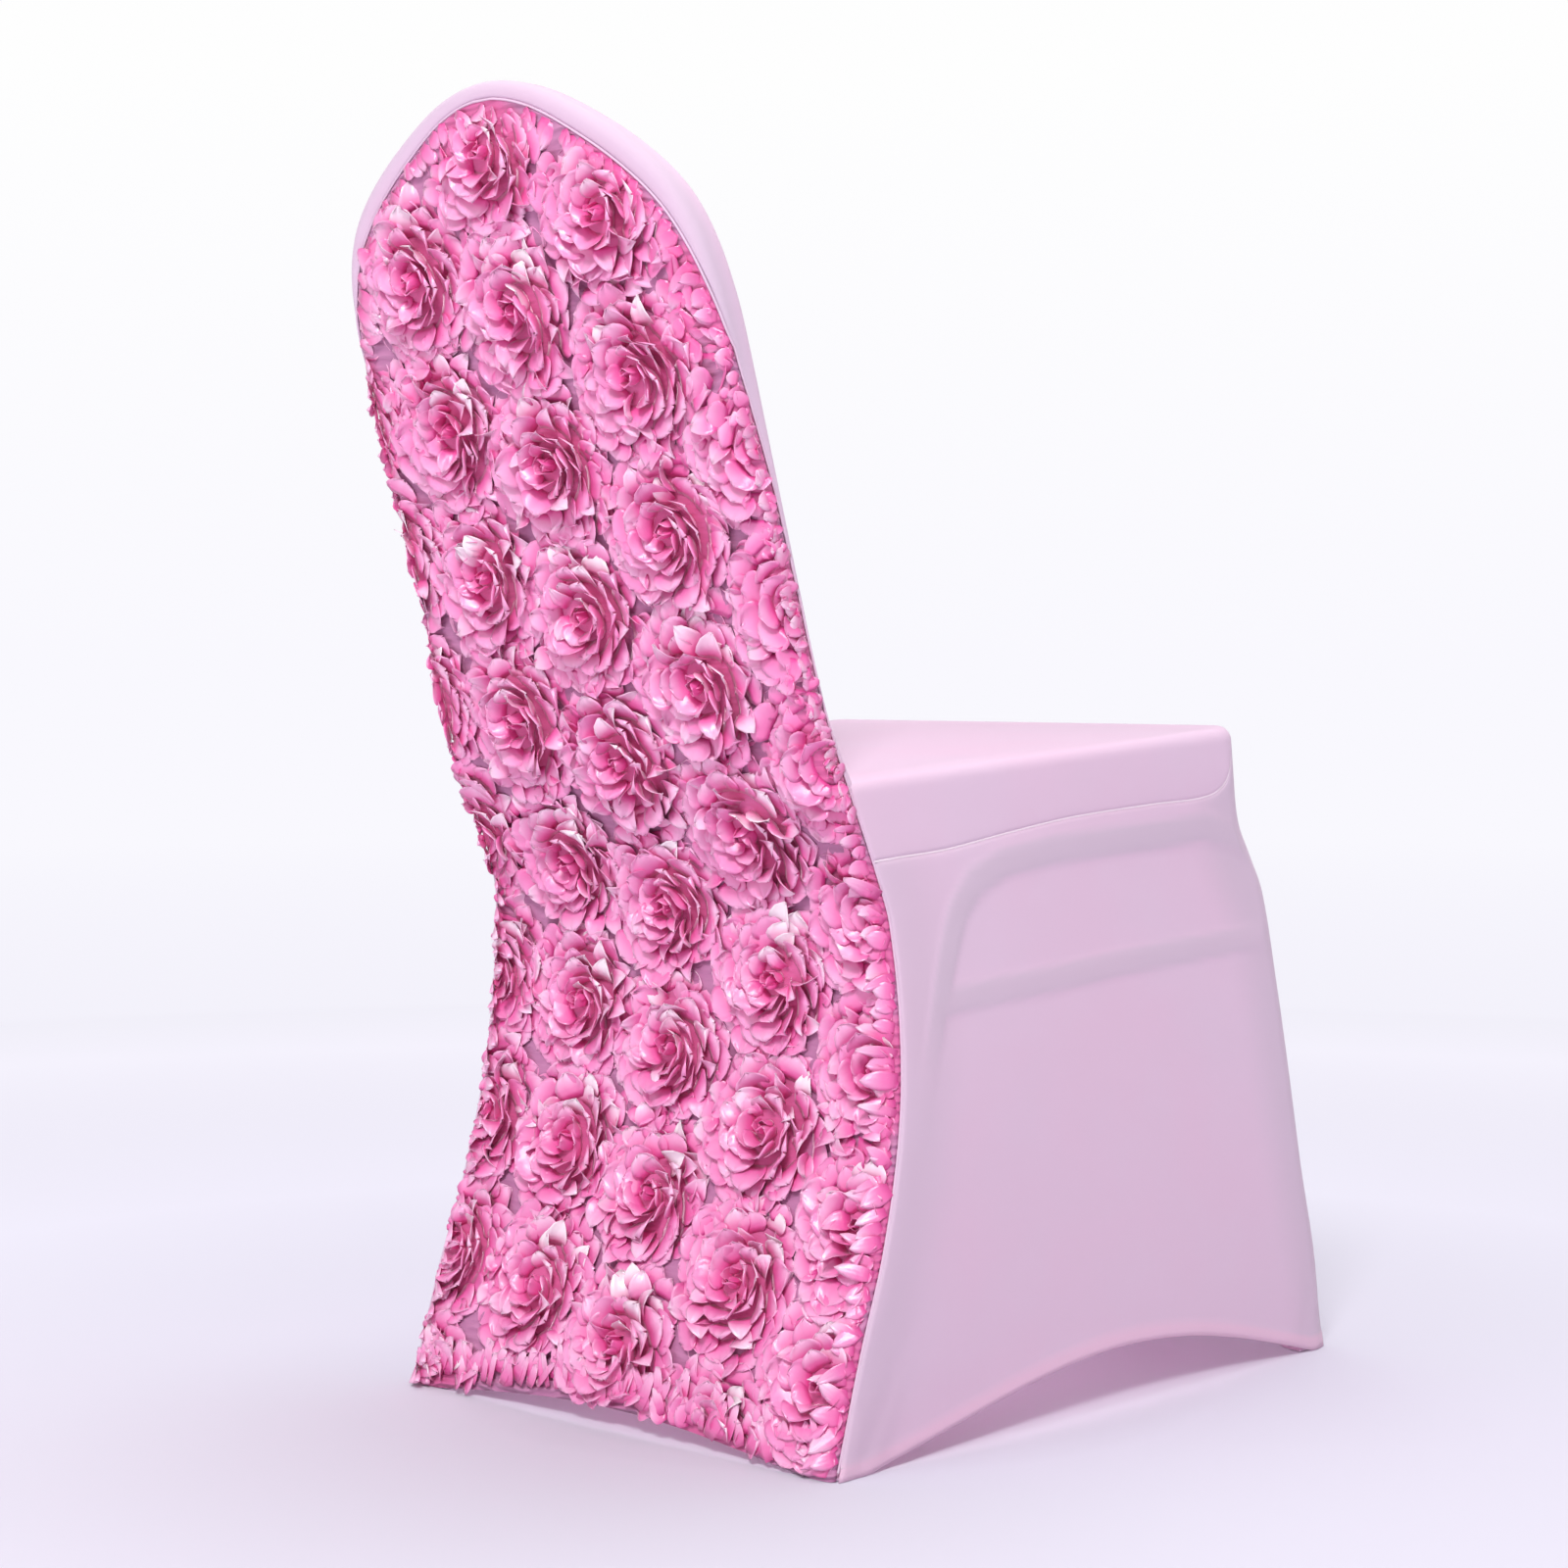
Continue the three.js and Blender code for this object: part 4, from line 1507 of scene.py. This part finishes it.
    def pinched(
        self, line: list[tuple[float, float]], chance: np.random.Generator
    ) -> list[Petal]:
        """The petals that a seam or the hem holds flat, their tips lying in from it.

        Args:
            line: places along the seam, across and up.
            chance: the row's own source of unevenness.

        Returns:
            The petals, one for each place.
        """
        found = []
        for around, up in line:
            to_seam, inward = self.way_in(around, up)
            lift = 0.3
            if up < 30 and to_seam > 12:
                inward, lift = np.array([0.0, 1.0]), 3.4
            point, n, sideways, upwards = self.footing(around, up, lift)
            out = (sideways * inward[0] + upwards * inward[1]).normalized()
            out.rotate(Matrix.Rotation(math.radians(chance.normal(0, 22)), 3, n))
            turn = facing(out, n) @ Matrix.Rotation(math.radians(chance.normal(0, 9)), 3, "Y")
            wrapped = abs(around) > SECTIONS.at("half", up) - self.form.edge
            short = 0.55 if wrapped and up > 400 else 0.75 if up > 880 else 1.0
            length = chance.uniform(0.55, 1.15) * short
            size = (chance.uniform(0.55, 1.0), length, length * 0.75)
            # Random paleness; the palest of these get a little painted highlight.
            shade = float(chance.uniform(0.2, 1.5))
            found.append(Petal(point, turn, size, PetalKind.PINCHED, shade))
        return found

    def side_line(self, side: int, chance: np.random.Generator) -> list[tuple[float, float]]:
        """Places a little in from one side seam, from the hem to the crown."""
        up = float(self.form.rear_hem(np.array(200.0))) + 6
        line = []
        while up < 926:
            reach = float(self.form.seam_reach(np.array(up)))
            line.append((side * (reach - chance.uniform(2.5, 7.0)), up))
            up += chance.uniform(6, 11) * (1 if up < 860 else 0.6)
        return line

    def hem_line(self, across: float, chance: np.random.Generator) -> list[tuple[float, float]]:
        """Places a little above the rear hem, half a row's pitch to either side."""
        line = []
        for step, offset in enumerate(np.arange(-51, 51, 5.0)):
            around = across + offset + chance.uniform(-2, 2)
            around = float(np.clip(around, -self.hem_reach, self.hem_reach))
            hem = float(self.form.rear_hem(np.array(around)))
            low = 0.8 if step % 2 and hem > 2 else 8.5
            line.append((around, hem + low + chance.uniform(0.0, 6.0)))
        return line

    def kind_at(self, share: float, chance: np.random.Generator) -> PetalKind:
        """The kind of petal at a share of the way out."""
        if share < 0.16:
            return PetalKind.BUD
        if chance.random() < 0.08 + 0.18 * share:
            return PetalKind.TURNED if chance.random() < 0.5 else PetalKind.FOLDED
        inner = share < 0.5 + chance.uniform(-0.15, 0.15)
        wavy = chance.random() < 0.5
        if inner:
            return PetalKind.WAVY_CUP if wavy else PetalKind.CUP
        return PetalKind.WAVY_OPEN if wavy else PetalKind.OPEN

    def scatter_tree(self) -> Branch:
        """The tree that puts a petal of its kind, turn and size on each point."""
        tree = Branch(
            "petal_spiral",
            (
                ("Petals", "NodeSocketCollection"),
                ("Petal size", "NodeSocketFloat"),
                ("Unevenness", "NodeSocketFloat"),
                ("Satin", "NodeSocketMaterial"),
            ),
        )
        kinds = tree.add(
            "GeometryNodeCollectionInfo",
            {"transform_space": "ORIGINAL"},
            {"Collection": tree.given("Petals"), "Separate Children": True, "Reset Children": True},
        )
        low, high = 1 - tree.given("Unevenness"), 1 + tree.given("Unevenness")
        uneven = tree.add(
            "FunctionNodeRandomValue",
            {"data_type": "FLOAT"},
            {2: low, 3: high, "Seed": self.seed},
            1,
        )
        size = tree.add(
            "ShaderNodeVectorMath",
            {"operation": "SCALE"},
            {0: tree.named("size", "FLOAT_VECTOR"), "Scale": uneven * tree.given("Petal size")},
        )
        placed = tree.add(
            "GeometryNodeInstanceOnPoints",
            None,
            {
                "Points": tree.given("Geometry"),
                "Instance": kinds,
                "Pick Instance": True,
                "Instance Index": tree.named("kind", "INT"),
                "Rotation": tree.named("turn", "FLOAT_VECTOR"),
                "Scale": size,
            },
        )
        tree.close(placed, tree.given("Satin"))
        return tree

    def row_piece(self, name: str, petals: list[Petal]) -> Any:
        """A piece with a point for each petal, which keeps the petal's measures."""
        # The shade attribute carries each petal's paleness, painted highlight included.
        piece = make_piece(
            name,
            self.form.to_row(np.array([p.point for p in petals])),
            [],
            {"shade": [p.shade for p in petals], "bud": [p.bud for p in petals]},
        )
        vectors = {
            "turn": [tuple(p.turn.to_euler("XYZ")) for p in petals],
            "size": [p.size for p in petals],
        }
        for label, values in vectors.items():
            layer = piece.data.attributes.new(label, "FLOAT_VECTOR", "POINT")
            layer.data.foreach_set("vector", np.array(values, np.float32).ravel())
        layer = piece.data.attributes.new("kind", "INT", "POINT")
        layer.data.foreach_set("value", np.array([p.kind.value for p in petals], np.int32))
        return piece

    def build(self, satin: Any) -> list[Any]:
        """Makes one piece for each row of rosettes."""
        holder = bpy.data.collections.new("petal_kinds")
        shapes = [petal.build(holder) for petal in PETALS]
        tree = self.scatter_tree()
        values = {"Petals": holder, "Petal size": 1.0, "Unevenness": 0.05, "Satin": satin}
        made, number = [], 1
        for index, row in enumerate(self.rows):
            chance = np.random.default_rng(self.seed + index)
            nodes, petals = [], []
            for up in self.centres(row):
                nodes.append(f"rosette_{number:02d}")
                number += 1
                petals += self.petals_of((row.across, up), chance)
            petals += self.pinched(self.hem_line(row.across, chance), chance)
            if row.by_seam:
                side = int(math.copysign(1, row.across))
                petals += self.pinched(self.side_line(side, chance), chance)
            piece = self.row_piece(f"rosettes_row_{index + 1}", petals)
            tree.run(piece, values)
            made.append(dress(piece, None, nodes))
        for shape in shapes:
            bpy.data.objects.remove(shape)
        bpy.data.collections.remove(holder)
        return made


# Seams


@dataclass
class Seams:
    """The raised fold and the stitches along each seam and hem."""

    fold: float = 0.0009
    stitch: float = 0.0028
    thread: float = 0.00038
    hem_rise: float = 9.5
    hem_out: float = 0.85
    form: CoverForm = FORM

    def stitch_tree(self) -> Branch:
        """The tree that sets stitches along a path."""
        tree = Branch(
            "stitch_line",
            (
                ("Stitch", "NodeSocketFloat"),
                ("Thread radius", "NodeSocketFloat"),
                ("Thread", "NodeSocketMaterial"),
            ),
        )
        path = tree.add("GeometryNodeMeshToCurve", None, {"Mesh": tree.given("Geometry")})
        spaced = tree.add(
            "GeometryNodeResampleCurve",
            {"mode": "LENGTH"},
            {"Curve": path, "Length": tree.given("Stitch") * 1.35},
        )
        bead = tree.add(
            "GeometryNodeMeshUVSphere", None, {"Segments": 6, "Rings": 4, "Radius": 1.0}
        )
        size = tree.add(
            "ShaderNodeCombineXYZ",
            None,
            {
                "X": tree.given("Stitch") * 0.5,
                "Y": tree.given("Thread radius"),
                "Z": tree.given("Thread radius"),
            },
        )
        turn = tree.add(
            "FunctionNodeAlignRotationToVector",
            {"axis": "X"},
            {"Vector": tree.add("GeometryNodeInputTangent")},
        )
        placed = tree.add(
            "GeometryNodeInstanceOnPoints",
            None,
            {"Points": spaced, "Instance": bead, "Rotation": turn, "Scale": size},
        )
        tree.close(placed, tree.given("Thread"))
        return tree

    def fold_tree(self) -> Branch:
        """The tree that runs a thin fold along a path."""
        tree = Branch(
            "seam_fold",
            (("Fold radius", "NodeSocketFloat"), ("Cloth", "NodeSocketMaterial")),
        )
        path = tree.add("GeometryNodeMeshToCurve", None, {"Mesh": tree.given("Geometry")})
        ring = tree.add(
            "GeometryNodeCurvePrimitiveCircle",
            None,
            {"Resolution": 6, "Radius": tree.given("Fold radius")},
        )
        tube = tree.add(
            "GeometryNodeCurveToMesh",
            None,
            {"Curve": path, "Profile Curve": ring, "Fill Caps": True},
        )
        tree.close(tube, tree.given("Cloth"))
        return tree

    def side_seam(self) -> Array:
        """The rosette cloth's seam, up one side, over the crown and down the other."""
        up = self.form.climb(6, 880, 260, 60)
        reach = self.form.seam_reach(up)
        right, _ = self.form.rear_point(reach, up, np.full(up.shape, -0.3))
        left = right[:-1][::-1] * [-1, 1, 1]
        return np.concatenate([right, left])

    def seat_seam(self) -> Array:
        """The seam round the seat, from one side of the rosette cloth to the other."""
        walls = Walls(form=self.form)
        _, seam = walls.tops()
        return walls.full(walls.profile(seam[None, :]))[0]

    def hem_line(self, skirt: Skirt, rise: float, out: float) -> Array:
        """A line of stitches a little above the hem.

        Args:
            skirt: the skirt.
            rise: the line's height above the hem.
            out: how far it lies off the cloth.

        Returns:
            The line's points.
        """
        hem = skirt.hem_heights()
        half = skirt.walls.profile((hem + rise)[None, :])
        line = skirt.walls.full(half)[0]
        away = np.gradient(line, axis=0)
        normal = np.stack([-away[:, 1], away[:, 0], 0 * away[:, 0]], axis=1)
        normal /= np.maximum(np.linalg.norm(normal, axis=1, keepdims=True), 1e-9)
        centre = np.array([0, -300.0, 0])
        outward = np.sum((line - centre) * normal * [1, 1, 0], axis=1, keepdims=True)
        return line + normal * np.sign(outward) * out

    def build(self, skirt: Skirt, thread: Any, cloth: Any) -> list[Any]:
        """Makes every seam's fold and stitches."""
        stitches, folds = self.stitch_tree(), self.fold_tree()
        made = []
        plans = (
            ("rosette_cloth_seam", self.side_seam(), cloth, True),
            ("seat_seam", self.seat_seam(), thread, False),
            ("hem_stitches", self.hem_line(skirt, self.hem_rise, self.hem_out), None, True),
        )
        stitch = {"Stitch": self.stitch, "Thread radius": self.thread, "Thread": thread}
        for name, line, fold_cloth, stitched in plans:
            points = self.form.to_row(line)
            edges = [(i, i + 1) for i in range(len(points) - 1)]
            if fold_cloth is not None:
                piece = make_piece(f"{name}_fold", points, [], None, edges)
                folds.run(piece, {"Fold radius": self.fold, "Cloth": fold_cloth})
                made.append(dress(piece, None))
            if stitched:
                piece = make_piece(f"{name}_thread", points, [], None, edges)
                stitches.run(piece, stitch)
                made.append(dress(piece, None))
        for piece in made:
            piece.data.polygons.foreach_set("use_smooth", [True] * len(piece.data.polygons))
        return made


# Studio


@dataclass(frozen=True)
class Lamp:
    """A soft square light and where it shines."""

    name: str
    place: tuple[float, float, float]
    size: float
    power: float
    colour: str = "FFFFFF"

    def build(self, target: Vector) -> None:
        """Makes the light."""
        data = bpy.data.lights.new(self.name, "AREA")
        data.shape = "SQUARE"
        data.size = self.size
        data.energy = self.power
        data.color = linear(self.colour)[:3]
        lamp = bpy.data.objects.new(self.name, data)
        lamp.location = self.place
        way = target - Vector(self.place)
        lamp.rotation_euler = way.to_track_quat("-Z", "Y").to_euler()
        bpy.context.scene.collection.objects.link(lamp)


@dataclass
class Studio:
    """Camera, lights and floor."""

    azimuth: float = 43.93
    pitch: float = 2.14
    distance: float = 2387.0
    aside: float = 22.4
    target_height: float = 458.4
    lens: float = 73.58
    horizon: str = "F9F8FE"
    lamps: tuple[Lamp, ...] = (
        Lamp("top_softbox", (0.2, -0.4, 2.8), 2.2, 38),
        Lamp("key_softbox", (-2.3, 3.5, 3.7), 1.15, 178),
        Lamp("rear_fill", (0.9, 2.8, 1.2), 1.6, 9),
        Lamp("glow_through_cloth", (0.0, -0.05, 0.4), 0.3, 0.8, "F7E2EE"),
    )

    def camera(self) -> None:
        """Places the camera at the photograph's viewing angle."""
        a, e = math.radians(self.azimuth), math.radians(self.pitch)
        forward = Vector((math.sin(a) * math.cos(e), -math.cos(a) * math.cos(e), -math.sin(e)))
        right = Vector((-math.cos(a), -math.sin(a), 0))
        up = right.cross(forward)
        target = Vector((0, -150, self.target_height))
        place = target - forward * self.distance + right * self.aside
        place = Vector(FORM.to_row(np.array(place)))
        data = bpy.data.cameras.new("photo_camera")
        data.lens = self.lens
        data.sensor_width = 36
        data.clip_start = 0.05
        data.clip_end = 100
        camera = bpy.data.objects.new("photo_camera", data)
        turn = Matrix((right, up, -forward)).transposed().to_4x4()
        camera.matrix_world = Matrix.Translation(place) @ turn
        bpy.context.scene.collection.objects.link(camera)
        bpy.context.scene.camera = camera

    def floor(self) -> None:
        """Lays the floor, which isn't part of the cover."""
        ring = np.linspace(0, 2 * math.pi, 65)[:-1]
        radii = np.array([0.0, 1.5, 4.0, 12.0, 30.0])[:, None]
        points = np.stack(
            [radii * np.cos(ring), radii * np.sin(ring), 0 * radii - 0.0005 + 0 * ring], axis=-1
        )
        faces = grid_faces(*points.shape[:2], closed=True).tolist()
        piece = make_piece("floor", points.reshape(-1, 3), faces)
        merge_doubles(piece)
        piece.data.materials.append(PaleFloor().build())

    def world(self) -> None:
        """Fills the room with soft, very slightly cool light."""
        world = bpy.data.worlds.new("studio")
        world.use_nodes = True
        tree = Tree(world.node_tree)
        seen = tree.add("ShaderNodeLightPath", output="Is Camera Ray")
        way = tree.add("ShaderNodeTexCoord", output="Generated")
        rise = tree.add("ShaderNodeSeparateXYZ", None, {0: way}, "Z")
        sky = tree.add(
            "ShaderNodeValToRGB",
            {"stops": ((0.0, linear(self.horizon)), (0.18, linear("FEFEFE")))},
            {"Fac": rise.clamped()},
            "Color",
        )
        glow = tree.add(
            "ShaderNodeBackground",
            None,
            {"Color": sky, "Strength": 0.42 + 0.58 * seen},
        )
        tree.node("ShaderNodeOutputWorld", None, {"Surface": glow})
        bpy.context.scene.world = world
        bpy.context.scene.view_settings.view_transform = "Standard"

    def build(self) -> None:
        """Sets up everything round the cover."""
        self.camera()
        self.floor()
        self.world()
        for lamp in self.lamps:
            lamp.build(Vector((0, 0, 0.5 if lamp.place[2] > 1 else 0)))


def main() -> None:
    """Builds the cover's pieces in order, then the studio."""
    logging.basicConfig(level=logging.INFO, format="%(name)s %(message)s")
    knit = StretchKnit().build()
    thread = SewingThread().build()
    skirt = Skirt()
    cloth_piece = RosetteCloth().build(GatheredCloth().build())
    seat_piece = SeatAndInnerBack().build(knit)
    skirt_piece = skirt.build(knit)
    patches = FootPatches().build(knit)
    rows = Rosettes().build(PetalSatin().build())
    seams = Seams().build(skirt, thread, knit)
    Studio().build()
    log.info("%d rows of rosettes and %d seam pieces", len(rows), len(seams))


if __name__ == "__main__":
    main()
